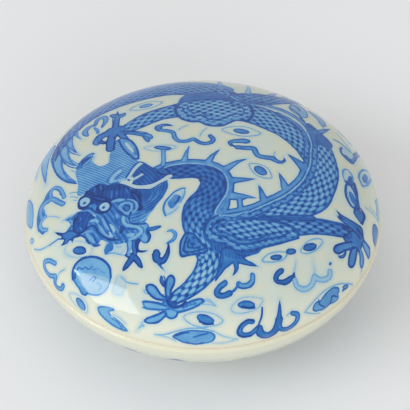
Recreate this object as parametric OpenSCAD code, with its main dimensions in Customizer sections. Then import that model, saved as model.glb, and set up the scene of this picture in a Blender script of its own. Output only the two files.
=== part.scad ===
// Round porcelain box for seal paste: a footed base with a raised inner
// flange, a domed cover that drops over the flange, and a cake of paste.
// Z is up and the foot ring stands on Z = 0. All sizes are in millimetres.

/* [Box] */
// Outer diameter of the base at the seam
box_d = 72; // [68:1:76]
// Height of the seam above the table
seam_h = 16.6; // [16.4:0.1:17]
// Rise of the cover above the seam
lid_rise = 14.8; // [14:0.2:16]
// Depth that the base's outer curve would reach below the seam at the centre
bowl_depth = 16.4; // [16.2:0.1:16.6]
// Fullness of both outer curves, where 2 is an ellipse
fullness = 2.3; // [2.2:0.05:2.4]
// Wall thickness of the cover
lid_wall = 2.45; // [2.2:0.05:2.8]
// Wall thickness of the base
base_wall = 3; // [2.8:0.1:3.2]

/* [Seam] */
// How far the cover's edge stands in from the base's edge
lid_inset = 0.4; // [0.2:0.1:0.6]
// Radius of the cover's outer edge
lid_edge_r = 0.4; // [0.3:0.05:0.5]
// Radius of the base's outer edge
base_edge_r = 0.8; // [0.5:0.1:1]
// Height of the flange above the seam
flange_h = 2.8; // [2.2:0.1:3]
// Thickness of the flange at its root
flange_t = 1.8; // [1.6:0.1:2]
// Thickness of the flange at its lip
lip_t = 1.3; // [1:0.1:1.4]
// How far the flange leans in over its height
flange_lean = 0.8; // [0.7:0.1:1]
// Gap between the flange's root and the cover
flange_gap = 0.45; // [0.35:0.05:0.6]

/* [Foot] */
// Outer diameter of the foot ring where it stands
foot_d = 39; // [37:0.5:41]
// Width of the flat that the foot ring stands on
foot_flat = 1.6; // [1.2:0.1:2]
// Taper of the foot ring's outer wall from table to bowl
foot_taper = 0.6; // [0.4:0.1:0.8]
// Height of the glazed underside above the table
recess_h = 1.6; // [1.2:0.1:1.8]
// How far the bowl's flat floor stands above the lowest point of its inner curve
floor_rise = 1; // [0.6:0.1:1.4]

/* [Paste] */
// Diameter of the cake of paste
paste_d = 47; // [40:1:50]
// Height of the cake above the bowl's floor
paste_h = 8.2; // [6:0.2:9]
// Roundness of the cake's shoulder, where 2 is an ellipse
paste_fullness = 3.2; // [2.5:0.1:4]

/* [Hidden] */
$fn = 180;
curve_step = 2.5;
arc_step = 15;
base_r = box_d / 2;
lid_r = base_r - lid_inset;
lid_inner_r = lid_r - lid_wall;
flange_r = lid_inner_r - flange_gap;
well_r = flange_r - flange_t;
floor_h = seam_h - bowl_depth + base_wall + floor_rise;
foot_r = foot_d / 2;
foot_inner_r = foot_r - foot_flat;
foot_edge = 0.35;
foot_top_r = foot_r + foot_taper;
inner_edge_r = 0.35;
underside_rise = 0.4;
underside_steps = 6;
cove_r = recess_h - underside_rise;
floor_blend = 0.8;
paste_side_h = 0.6;
glaze_white = "#e9ebe1";
paste_red = "#b3241c";

// Outer curve: (r / a) ^ fullness + (z / b) ^ 2 = 1, with t from rim to pole.
function curve_point(a, b, t) =
    [a * pow(cos(t), 2 / fullness), b * sin(t)];

// Unit normal of that curve, pointing out of the wall.
function curve_normal(a, b, t) =
    let (
        p = curve_point(a, b, t),
        g = [fullness / a * pow(p[0] / a, fullness - 1), 2 * p[1] / (b * b)]
    )
    g / norm(g);

// The same curve moved into the wall by its thickness.
function inner_point(a, b, wall, t) =
    curve_point(a, b, t) - wall * curve_normal(a, b, t);

// Parameter at which the outer curve has the radius r.
function curve_t(a, r) = acos(pow(r / a, fullness / 2));

// Points of an arc about centre c, from angle a0 to angle a1.
function arc(c, r, a0, a1) =
    let (n = max(2, ceil(abs(a1 - a0) / arc_step)))
    [for (i = [0:n]) c + r * [cos(a0 + (a1 - a0) * i / n), sin(a0 + (a1 - a0) * i / n)]];

// Heights below the seam are turned into heights above the table.
function below_seam(p) = [p[0], seam_h - p[1]];
function above_seam(p) = [p[0], seam_h + p[1]];

// Curved inside of the bowl, between its upright wall and its flat floor.
bowl_inside = [
    for (t = [0:curve_step:90])
        let (p = below_seam(inner_point(base_r, bowl_depth, base_wall, t)))
        if (p[0] < well_r && p[1] > floor_h) p
];
floor_r = bowl_inside[len(bowl_inside) - 1][0] - floor_blend;

// The outer curve meets the foot ring just outside its top.
foot_join_t = curve_t(base_r, foot_top_r + foot_edge);
foot_join = below_seam(curve_point(base_r, bowl_depth, foot_join_t));

// Half section of the base, from the centre of its underside round to its floor.
module base_section() {
    underside = [
        for (i = [0:underside_steps - 1])
            let (u = i / underside_steps)
            [(foot_inner_r - cove_r) * u, recess_h - underside_rise * u * u]
    ];
    foot_inside = arc([foot_inner_r - cove_r, 0], cove_r, 90, 0);
    foot_outside = [
        [foot_r - foot_edge, 0],
        [foot_r, foot_edge],
        [foot_top_r, foot_join[1] - foot_edge]
    ];
    outside = [
        for (t = [foot_join_t:-curve_step:asin(base_edge_r / bowl_depth)])
            below_seam(curve_point(base_r, bowl_depth, t))
    ];
    rim = arc([base_r - base_edge_r, seam_h - base_edge_r], base_edge_r, 0, 90);
    flange_root = arc([flange_r + inner_edge_r, seam_h + inner_edge_r], inner_edge_r, 270, 180);
    lip = arc(
        [flange_r - flange_lean - lip_t / 2, seam_h + flange_h - lip_t / 2],
        lip_t / 2, 0, 180
    );
    polygon(concat(
        underside, foot_inside, foot_outside, outside, rim, flange_root, lip,
        [[well_r, seam_h]], bowl_inside, [[floor_r, floor_h], [0, floor_h]]
    ));
}

// Half section of the cover, from its edge over the crown and back inside.
module lid_section() {
    edge = arc([lid_r - lid_edge_r, seam_h + lid_edge_r], lid_edge_r, 270, 360);
    outside = [
        for (t = [asin(lid_edge_r / lid_rise):curve_step:90])
            above_seam(curve_point(lid_r, lid_rise, t))
    ];
    crown = [[0, seam_h + lid_rise], [0, seam_h + lid_rise - lid_wall]];
    inside = [
        for (t = [90 - curve_step:-curve_step:2 * curve_step])
            above_seam(inner_point(lid_r, lid_rise, lid_wall, t))
    ];
    inner_edge = arc([lid_inner_r + inner_edge_r, seam_h + inner_edge_r], inner_edge_r, 180, 270);
    polygon(concat(edge, outside, crown, inside, inner_edge));
}

// Half section of the paste: a low cake whose underside fits the bowl.
module paste_section() {
    paste_r = paste_d / 2;
    bed = [for (p = bowl_inside) if (p[0] < paste_r) p];
    side_h = bed[0][1] + paste_side_h;
    crown_h = floor_h + paste_h - side_h;
    cake = [
        for (t = [0:2 * curve_step:90])
            [paste_r * pow(cos(t), 2 / paste_fullness), side_h + crown_h * sin(t)]
    ];
    bed_up = [for (i = [len(bed) - 1:-1:0]) bed[i]];
    polygon(concat([[0, floor_h], [floor_r, floor_h]], bed_up, cake));
}

module base() {
    color(glaze_white) rotate_extrude() base_section();
}

module lid() {
    color(glaze_white) rotate_extrude() lid_section();
}

module seal_paste() {
    color(paste_red) rotate_extrude() paste_section();
}

base();
lid();
seal_paste();
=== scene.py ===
import math
from functools import partial

import bpy
import numpy as np
from mathutils import Matrix, Vector


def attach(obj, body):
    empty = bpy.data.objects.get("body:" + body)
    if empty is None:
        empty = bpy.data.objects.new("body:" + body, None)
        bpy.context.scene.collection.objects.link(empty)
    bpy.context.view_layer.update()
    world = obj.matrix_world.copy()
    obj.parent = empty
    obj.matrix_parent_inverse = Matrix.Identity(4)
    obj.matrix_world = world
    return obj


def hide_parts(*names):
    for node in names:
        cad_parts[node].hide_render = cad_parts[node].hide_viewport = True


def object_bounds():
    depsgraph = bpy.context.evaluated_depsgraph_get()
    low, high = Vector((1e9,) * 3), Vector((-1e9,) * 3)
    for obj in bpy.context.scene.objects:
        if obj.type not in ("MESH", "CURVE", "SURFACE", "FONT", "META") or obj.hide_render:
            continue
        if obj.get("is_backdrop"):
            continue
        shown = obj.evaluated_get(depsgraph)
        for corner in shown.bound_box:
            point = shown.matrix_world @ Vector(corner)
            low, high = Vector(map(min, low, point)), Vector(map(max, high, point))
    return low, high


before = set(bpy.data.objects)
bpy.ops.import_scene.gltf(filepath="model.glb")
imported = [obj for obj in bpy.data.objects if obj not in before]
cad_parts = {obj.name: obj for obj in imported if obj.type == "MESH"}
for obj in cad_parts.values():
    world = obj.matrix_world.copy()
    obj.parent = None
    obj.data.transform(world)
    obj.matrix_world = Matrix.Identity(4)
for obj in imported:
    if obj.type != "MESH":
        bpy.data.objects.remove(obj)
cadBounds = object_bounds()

# Round porcelain box for seal paste, painted in cobalt under a clear glaze. The box is given in
# millimetres; its meshes, the studio and the camera are in metres.
mm = 0.001
rng = np.random.default_rng(7)

# Turned shape shared by base and cover; it follows the solids of the frame.
shape = {
    "baseRadius": 36.0,
    "lidRadius": 35.6,
    "seamHeight": 16.6,
    "lidRise": 14.8,
    "bowlDepth": 16.4,
    "fullness": 2.3,  # 2 would be an ellipse
    "lidWall": 2.45,
    "baseWall": 3.0,
    "lidEdge": 0.4,  # rounding of the cover's outer edge
    "baseEdge": 0.8,  # rounding of the base's outer edge
    "innerEdge": 0.35,  # rounding inside the cover's edge and at the flange's root
    "floor": 4.2,  # height of the bowl's flat floor
}
seam = shape["seamHeight"]

# Brushwork: a painting is worked out as distances to painted shapes.
brush = {
    "reach": 1.2,  # how far outside a shape its distance is still worked out
    "far": 9.0,  # distance where no shape is near
    "beside": 0.6,  # lines closer than this take the same sides
    "deep": 5.0,  # half width of the line that stands for a solid patch
    "overlap": 0.15,  # how far scales and hair run out under their own edge
    "shift": 0.4,  # step along the body from one length of scales to the next
}

# What a painting holds at every spot: distances (negative inside a shape), tones from 0 for
# bare glaze to 1 for the darkest cobalt, and places within scales, hair and thin lines.
toneLayers = ("wash", "skin", "hair", "line", "white", "dot")
paintLayers = {layer: brush["far"] for layer in toneLayers + ("fold", "lineSide")}
paintLayers.update({layer + "Tone": 0.5 for layer in toneLayers})
paintLayers.update({layer: 0.0 for layer in ("along", "across", "comb", "lineHalf")})


# Smooth line through given points (Catmull-Rom), one row of (x, y, ...) per step.
def splineThrough(points, closed=False, perSpan=8):
    p = np.array(points, dtype=float)
    if closed:
        p = np.vstack([p[-1:], p, p[:2]])
    else:
        p = np.vstack([2 * p[:1] - p[1:2], p, 2 * p[-1:] - p[-2:-1]])
    t = np.arange(perSpan) / perSpan
    basis = 0.5 * np.stack([
        -t + 2 * t**2 - t**3,
        2 - 5 * t**2 + 3 * t**3,
        t + 4 * t**2 - 3 * t**3,
        -t**2 + t**3,
    ], axis=1)
    spans = np.stack([p[:-3], p[1:-2], p[2:-1], p[3:]], axis=1)
    path = np.einsum("tk,skd->std", basis, spans).reshape(-1, p.shape[1])
    return path if closed else np.vstack([path, p[-2]])


# Running length of a path: the sum of its steps up to each point.
def reachAlong(path):
    return np.concatenate([[0], np.cumsum(np.hypot(*np.diff(path[:, :2], axis=0).T))])


# Nearest point of a path for each spot, by dropping the spot on every straight step: distance,
# arc length along the path, side (left is positive) and share of the way.
def nearestOn(path, spots):
    a = path[:-1, :2]
    d = path[1:, :2] - a
    length = np.hypot(d[:, 0], d[:, 1]) + 1e-9
    along = np.concatenate([[0], np.cumsum(length)])
    gap = spots[:, None, :] - a[None]
    t = np.clip((gap * d).sum(2) / length**2, 0, 1)
    off = gap - t[..., None] * d
    far = (off**2).sum(2)
    k = far.argmin(1)
    row = np.arange(len(spots))
    side = np.sign(d[k, 0] * gap[row, k, 1] - d[k, 1] * gap[row, k, 0])
    arc = along[k] + t[row, k] * length[k]
    return np.sqrt(far[row, k]), arc, side, arc / along[-1]


# True for spots inside a closed path (count of crossings to the right is odd).
def insideOf(path, spots):
    a = path
    b = np.roll(path, -1, axis=0)
    x = spots[:, None, 0]
    y = spots[:, None, 1]
    cross = (a[None, :, 1] > y) != (b[None, :, 1] > y)
    slope = (b[:, 0] - a[:, 0]) / (b[:, 1] - a[:, 1] + 1e-12)
    at = a[None, :, 0] + (y - a[None, :, 1]) * slope[None]
    return (cross & (x < at)).sum(1) % 2 == 1


# Numbers of the spots that lie within a margin of a path's bounding box.
def spotsNear(path, spots, margin=brush["reach"]):
    low = path[:, :2].min(0) - margin
    high = path[:, :2].max(0) + margin
    return np.nonzero(((spots > low) & (spots < high)).all(1))[0]


# Spots near a closed outline, and their distance to it, negative inside.
def outlineEdge(fields, points):
    path = splineThrough(points, closed=True)
    pick = spotsNear(path, fields["spots"])
    spots = fields["spots"][pick]
    edge = nearestOn(np.vstack([path, path[:1]]), spots)[0]
    edge[insideOf(path, spots)] *= -1
    return pick, edge


# Distances along and across a direction, for spots as x and y.
def turnedAxes(spots, angle):
    c = math.cos(math.radians(angle))
    s = math.sin(math.radians(angle))
    return spots[:, 0] * c + spots[:, 1] * s, spots[:, 1] * c - spots[:, 0] * s


# A bare painting: every layer at its value where nothing is painted.
def newPainting(spots):
    fields = {name: np.full(len(spots), value) for name, value in paintLayers.items()}
    fields["spots"] = spots
    return fields


# Lays one edge distance into a layer: the nearer edge wins and brings its tone.
def layDown(fields, layer, pick, edge, tone):
    nearer = edge < fields[layer][pick]
    fields[layer][pick[nearer]] = edge[nearer]
    fields[layer + "Tone"][pick[nearer]] = np.broadcast_to(tone, edge.shape)[nearer]


# Share of a stroke's half width along it: a leaf is an ellipse, a hook swells at once and thins
# out by a power of the way left, a flick only thins out.
def brushWidth(kind, share):
    if kind == "leaf":
        return np.sqrt(np.clip(4 * share * (1 - share), 0, 1))
    if kind == "hook":
        return np.clip(1 - share, 0, 1) ** 0.6 * np.clip(0.75 + 6 * share, 0, 1)
    if kind == "flick":
        return np.clip(1 - share, 0, 1) ** 0.8
    return np.ones_like(share)


# Thin lines also keep their half width and a signed distance, so that the shader finds a line's
# middle between two spots. A line beside another takes the sides of its neighbour, so that
# nothing shows half way between them.
def layLine(fields, pick, off, side, half, tone):
    edge = off - half
    side = side * np.ones(len(pick))
    beside = fields["line"][pick] < brush["beside"]
    if (side * np.sign(fields["lineSide"][pick]))[beside].sum() < 0:
        side = -side
    nearer = edge < fields["line"][pick]
    fields["lineSide"][pick[nearer]] = (off * side)[nearer]
    fields["lineHalf"][pick[nearer]] = half[nearer]
    layDown(fields, "line", pick, edge, tone)


# Brush stroke: distance to the path less the brush's half width there.
def brushStroke(fields, layer, kind, tone, halfWidth, *points, closed=False):
    path = splineThrough(points, closed)
    if closed:
        path = np.vstack([path, path[:1]])
    pick = spotsNear(path, fields["spots"], halfWidth + brush["reach"])
    off, arc, side, share = nearestOn(path, fields["spots"][pick])
    half = halfWidth * brushWidth(kind, share)
    if layer == "line":
        layLine(fields, pick, off, side, half, tone)
    else:
        layDown(fields, layer, pick, off - half, tone)


# Closed patch: distance to its outline. Among the lines it counts as a broad line whose middle
# lies deep inside.
def brushPatch(fields, layer, tone, points):
    pick, edge = outlineEdge(fields, points)
    if layer == "line":
        deep = brush["deep"]
        layLine(fields, pick, edge + deep, 1, np.full(len(pick), deep), tone)
    else:
        layDown(fields, layer, pick, edge, tone)


# Covers what is below with a new piece of scaled skin; its own edge shows as a fold line.
def coverSkin(fields, pick, edge, along, across, tone):
    inside = edge < 0
    skin = fields["skin"]
    fold = fields["fold"]
    top = pick[inside]
    rest = pick[~inside]
    fold[rest] = np.minimum(fold[rest], edge[~inside])
    fold[top] = -edge[inside]
    skin[pick] = np.minimum(skin[pick], edge)
    near = edge < brush["overlap"]
    fields["skinTone"][pick[near]] = np.broadcast_to(tone, edge.shape)[near]
    fields["along"][pick[near]] = along[near]
    fields["across"][pick[near]] = across[near]


# Scaled tube: rows are (x, y, half width) of the body's middle; scales follow the middle line,
# and the tones are spread evenly along it.
def scaledTube(fields, tones, rows, shift):
    path = splineThrough(rows)
    pick = spotsNear(path, fields["spots"], path[:, 2].max() + brush["reach"])
    off, arc, side, share = nearestOn(path, fields["spots"][pick])
    halfWidth = np.interp(arc, reachAlong(path), path[:, 2])
    tone = np.interp(share, np.linspace(0, 1, len(tones)), tones)
    coverSkin(fields, pick, off - halfWidth, arc + shift, off * side, tone)


# Scaled patch with straight rows of scales, turned by an angle.
def scaledPatch(fields, tone, angle, points):
    pick, edge = outlineEdge(fields, points)
    along, across = turnedAxes(fields["spots"][pick], angle)
    coverSkin(fields, pick, edge, along, across, tone)


# Patch of fine combed lines; the comb field counts them, one for every pitch. A straight comb has
# an angle and a bend by the square of the way along it. Rings lie round a centre, and a fan
# spreads from one, with its pitch measured at its reach.
def combedPatch(fields, tone, comb, points):
    pick, edge = outlineEdge(fields, points)
    spots = fields["spots"][pick]
    if "centre" in comb:
        gap = spots - np.array(comb["centre"])
        if comb.get("rings"):
            phase = np.hypot(gap[:, 0], gap[:, 1])
        else:
            phase = np.unwrap(np.arctan2(gap[:, 1], gap[:, 0])) * comb["reach"]
    else:
        along, across = turnedAxes(spots - spots.mean(0), comb["angle"])
        phase = across + comb.get("bend", 0) * along**2
    inside = (edge < brush["overlap"]) & (edge < fields["hair"][pick])
    layDown(fields, "hair", pick, edge, tone)
    fields["comb"][pick[inside]] = (phase / comb.get("pitch", 0.42))[inside]
    fields["hairTone"][pick[inside]] = tone


# Every kind of stroke: the layer it is laid in, the shape of the brush's mark and whether the
# stroke closes on itself.
strokeKinds = {
    "leaf": ("wash", "leaf", False),
    "hook": ("wash", "hook", False),
    "flick": ("wash", "flick", False),
    "brush": ("wash", "brush", False),
    "patch": ("wash", "patch", True),
    "line": ("line", "brush", False),
    "lineLeaf": ("line", "leaf", False),
    "ring": ("line", "brush", True),
    "linePatch": ("line", "patch", True),
    "white": ("white", "brush", False),
    "whiteLeaf": ("white", "leaf", False),
    "whitePatch": ("white", "patch", True),
    "dot": ("dot", "brush", False),
    "dotRing": ("dot", "brush", True),
}


# Draws strokes: kind, tone, half width (none for a patch), then the points. An outlined or ringed
# patch has two tones, for itself and for the open or closed line round it.
def drawStrokes(fields, strokes):
    for kind, tone, *points in strokes:
        if kind in ("outlined", "ringed"):
            brushPatch(fields, "wash", tone[0], points[1:])
            brushStroke(fields, "line", "brush", tone[1], *points, closed=kind == "ringed")
            continue
        layer, mark, closed = strokeKinds[kind]
        if mark == "patch":
            brushPatch(fields, layer, tone, points)
        else:
            brushStroke(fields, layer, mark, tone, *points, closed=closed)


# Eye-shaped cloud: thin almond outline round a dab, both as shares of its two half axes, turned
# by an angle.
def eyeCloud(centre, size, angle, dab, tone):
    c = math.cos(math.radians(angle))
    s = math.sin(math.radians(angle))
    almond = [(-1, 0), (-0.45, 0.8), (0.2, 1), (0.75, 0.5), (1, 0), (0.7, -0.6), (0.1, -1),
              (-0.55, -0.7)]
    middle = [(-dab, 0.1), (0, 0), (dab, -0.05)]

    def placed(shares):
        sides = [(x * size[0], y * size[1]) for x, y in shares]
        return [(centre[0] + x * c - y * s, centre[1] + x * s + y * c) for x, y in sides]

    return [
        ("ring", 0.44, 0.14, *placed(almond)),
        ("leaf", tone, size[1] * dab * 1.25, *placed(middle)),
    ]


# Dragon, pearl and clouds, placed over the photograph, in millimetres on the plan.

# Scaled skin from the far side to the near side: tones along it, then rows of (x, y, half
# width) down its middle.
dragonSkin = {
    "tail": ([0.62], [(4.5, 22.5, 2.4), (3, 23.5, 2.9), (-2, 24.9, 3.2), (-7, 25.4, 3.1), (-13, 23.9, 2.7),
        (-18, 22.2, 2.5), (-23, 19.3, 2), (-26.5, 15.6, 1.7), (-28.7, 11.5, 1.3), (-30, 8, 0.8)]),
    "farLeg": ([0.64], [(7.5, 21.3, 2.2), (12, 22, 2.6), (16, 23.3, 1.8), (19.5, 25, 1)]),
    "outerLoop": ([0.52], [(6, -15.8, 1.6), (11, -13.5, 2.4), (16, -10.8, 3), (20.9, -7.3, 3.4),
        (22.7, -3.7, 3.3), (23.9, 0.5, 3.1), (24, 4, 2.8), (23.6, 8, 2.3), (22.8, 11.5, 1.5)]),
    "innerFlank": ([0.52], [(20.7, 2.5, 0.7), (19.6, 7, 2), (17, 11.2, 3), (13.3, 14, 3.5),
        (9.5, 15.7, 3.5), (6.5, 16.2, 3.3)]),
    "hindLeg": ([0.52], [(-3.5, 16.4, 3), (-6, 15.8, 2.4), (-8.5, 15.1, 2.15), (-11, 13.9, 2.1),
        (-13.4, 12.3, 1.9), (-15.4, 11, 1.5)]),
    "neck": ([0.76, 0.76, 0.73, 0.57, 0.41, 0.39], [(-7.2, -2.6, 1.7), (-5, -2.7, 1.9), (-2, -2.4, 2),
        (0.5, -3, 2.3), (2.1, -5.6, 2.7), (1.3, -9, 2.9), (-0.7, -12.2, 3.1), (-1.2, -16, 2.7),
        (0.4, -20, 2.5), (1.5, -23, 2.6), (0.2, -26, 2.1), (-2.5, -28.5, 1.55), (-5.4, -30, 1.1)]),
    "foreLeg": ([0.52, 0.62], [(12, -15.6, 2.3), (17, -14.8, 2), (21, -13.7, 1.75), (25, -12.9, 1.55),
        (28, -12.4, 1.3)]),
}

# Lobed plates over thigh and shoulder: tone, angle of the rows of scales, outline.
dragonPlates = {
    "thigh": (0.48, 8, [(-5.3, 14.6), (-4.4, 13), (-2.6, 12), (-0.8, 11.9), (0.5, 11), (2, 10.6),
        (3.9, 10.8), (5.2, 11.7), (6.6, 12.7), (8.8, 12.9), (10, 15.4), (9.3, 18.6), (6.7, 20), (3, 20.3),
        (-0.7, 19.9), (-4.2, 19), (-5.6, 16.8)]),
    "shoulder": (0.53, -12, [(2.9, -13.6), (0.9, -15.2), (0.3, -17.1), (0.9, -18.9), (2.4, -19.7),
        (4, -19.9), (5.2, -20.8), (7.5, -21.3), (9.7, -21), (11.7, -20), (14.8, -18.7), (18.5, -16.8),
        (17, -14.6), (12, -13.9), (7, -14)]),
}

# Short lines of hair, mane and shaded membrane: tone, comb, outline.
dragonHair = [
    (0.5, {"angle": -38, "bend": 0.004, "pitch": 0.52}, [(-24.4, -6), (-24.6, -3), (-25.3, 0.5),
     (-24.6, 1.7), (-22.4, 2.8), (-20.6, 0.9), (-18.8, 1.3), (-18.5, 4), (-17.6, 7.6), (-15.7, 7.2),
     (-14.2, 4.2), (-13.2, 1.6), (-12.5, 0.3), (-14, -1.6), (-14.6, -3.6), (-16.4, -4.6), (-18.7, -4.8),
     (-20.7, -4.4)]),
    # mane behind the cheek: curved strands, paler low down
    (0.72, {"centre": (-13.2, -5.8), "rings": True, "pitch": 0.56}, [(-12.4, -6.8), (-11, -7), (-9.8, -7),
     (-8.6, -6.2), (-7, -5.2), (-6.8, -6.6), (-7.3, -8.2), (-8, -9.6), (-9, -11), (-9.9, -12.4),
     (-11.4, -12.6), (-12.4, -11.6), (-12.2, -9.6), (-12.4, -8)]),
    (0.6, {"centre": (-14.6, -6.6), "rings": True, "pitch": 0.7}, [(-9.8, -12), (-10.5, -13.4),
     (-11.2, -14.8), (-12.6, -14.9), (-13.7, -14.4), (-14.2, -13.4), (-14, -12.2), (-12.6, -11.4),
     (-11, -11.6)]),
    (0.78, {"angle": -52, "bend": 0.03, "pitch": 0.74}, [(-12.9, -1.3), (-12.2, -0.3), (-11.6, -0.1),
     (-10.9, -0.6), (-10, -1.3), (-9, -1.6), (-8, -2), (-6.8, -2.6), (-6.8, -3.6), (-8, -4.5), (-8.8, -5.1),
     (-9.9, -5.5), (-11.4, -5.8), (-12.8, -5.7), (-13.8, -5.2), (-13.6, -4.2), (-13.9, -2.7),
     (-13.7, -2.2)]),
    # brow and forelock: upright ticks
    (0.86, {"angle": 86, "bend": 0.01, "pitch": 0.84}, [(-24.3, -6.8), (-23.4, -6), (-22.9, -5.2),
     (-22, -4.4), (-21, -3.8), (-20.3, -3.4), (-19.4, -4), (-18.5, -4.7), (-17.5, -4.5), (-16.4, -4.8),
     (-15.2, -5.5), (-14, -6.4), (-12.6, -6.9), (-11.6, -7.4), (-11.6, -9), (-11.8, -10.6), (-12.4, -11.8),
     (-13.9, -12.6), (-13.4, -11), (-14.2, -9.4), (-16, -8.7), (-17.6, -8.8), (-18.2, -9.6), (-19.4, -11.2),
     (-20.6, -11.3), (-22, -10.4), (-23.5, -9.6), (-24.3, -8.8)]),
    # snout, then the cheek with its wavy bands
    (0.84, {"angle": 70, "pitch": 0.9}, [(-24.2, -9.8), (-23, -9.9), (-22, -10.5), (-21.2, -11.5),
     (-20.8, -12.2), (-21.9, -12.5), (-22.2, -13.2), (-22.6, -14.1), (-23.6, -14.5), (-24.6, -14.2),
     (-25.1, -13.2), (-25.1, -12), (-24.9, -10.9)]),
    (0.6, {"angle": 55, "pitch": 0.8}, [(-24.3, -9.7), (-25.3, -10.3), (-26.9, -10.6), (-26.1, -11.4),
     (-25.8, -12.3), (-26.5, -13.1), (-26.6, -14), (-25.6, -14.8), (-24.2, -14.9), (-23.8, -14.2),
     (-24.8, -13.4), (-24.7, -11.4)]),
    (0.62, {"angle": -58, "bend": 0.006, "pitch": 0.9}, [(-18.4, -9.4), (-17.5, -8.7), (-15.8, -8.5),
     (-14, -9), (-12.6, -10), (-12.3, -11.2), (-13.6, -12.2), (-14.4, -12.9), (-14.2, -14.4),
     (-12.6, -15.1), (-11.3, -15.9), (-11.2, -17.2), (-12.2, -18.6), (-14.6, -18.7), (-16.6, -18.8),
     (-18.3, -18), (-19.4, -17.2), (-20.2, -18), (-21.2, -17.8), (-22, -16.6), (-23.2, -15.3),
     (-24.8, -14.9), (-24, -14.2), (-22.6, -14), (-21.9, -12.6), (-20.8, -12), (-20.6, -11.2),
     (-19.4, -11.1)]),
    (0.72, {"angle": -80, "pitch": 0.6}, [(0.8, -19), (3.2, -19.7), (5.2, -20.7), (7.5, -21.2), (10, -20.9),
     (11.4, -20.2), (10.6, -21.3), (8.9, -22), (7, -22.8), (4.6, -22.6), (2.2, -21.2)]),
    (0.7, {"centre": (1.5, 8), "reach": 13}, [(-5.2, 18.2), (-3.2, 19.3), (0, 20.2), (3, 20), (6.2, 19.6),
     (5, 21.6), (2.4, 23.2), (-1, 23), (-4.2, 21.6)]),
    (0.6, {"centre": (-4, 8), "reach": 18}, [(-25.6, 19.2), (-21, 22.6), (-16.5, 24.3), (-11, 26),
     (-7, 27.4), (-2, 27.3), (2.6, 26), (6, 24.4), (5.6, 26.4), (1.4, 28.6), (-6.6, 29.7), (-13.6, 28.2),
     (-20, 25.2), (-24.6, 21.6)]),
    (0.72, {"centre": (15, 4), "reach": 10}, [(21.8, 8.5), (23.6, 8.6), (25.6, 8.4), (26, 10.3),
     (24.2, 12.8), (21.6, 15.6), (20.6, 14.4), (21.6, 11.6)]),
]

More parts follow.
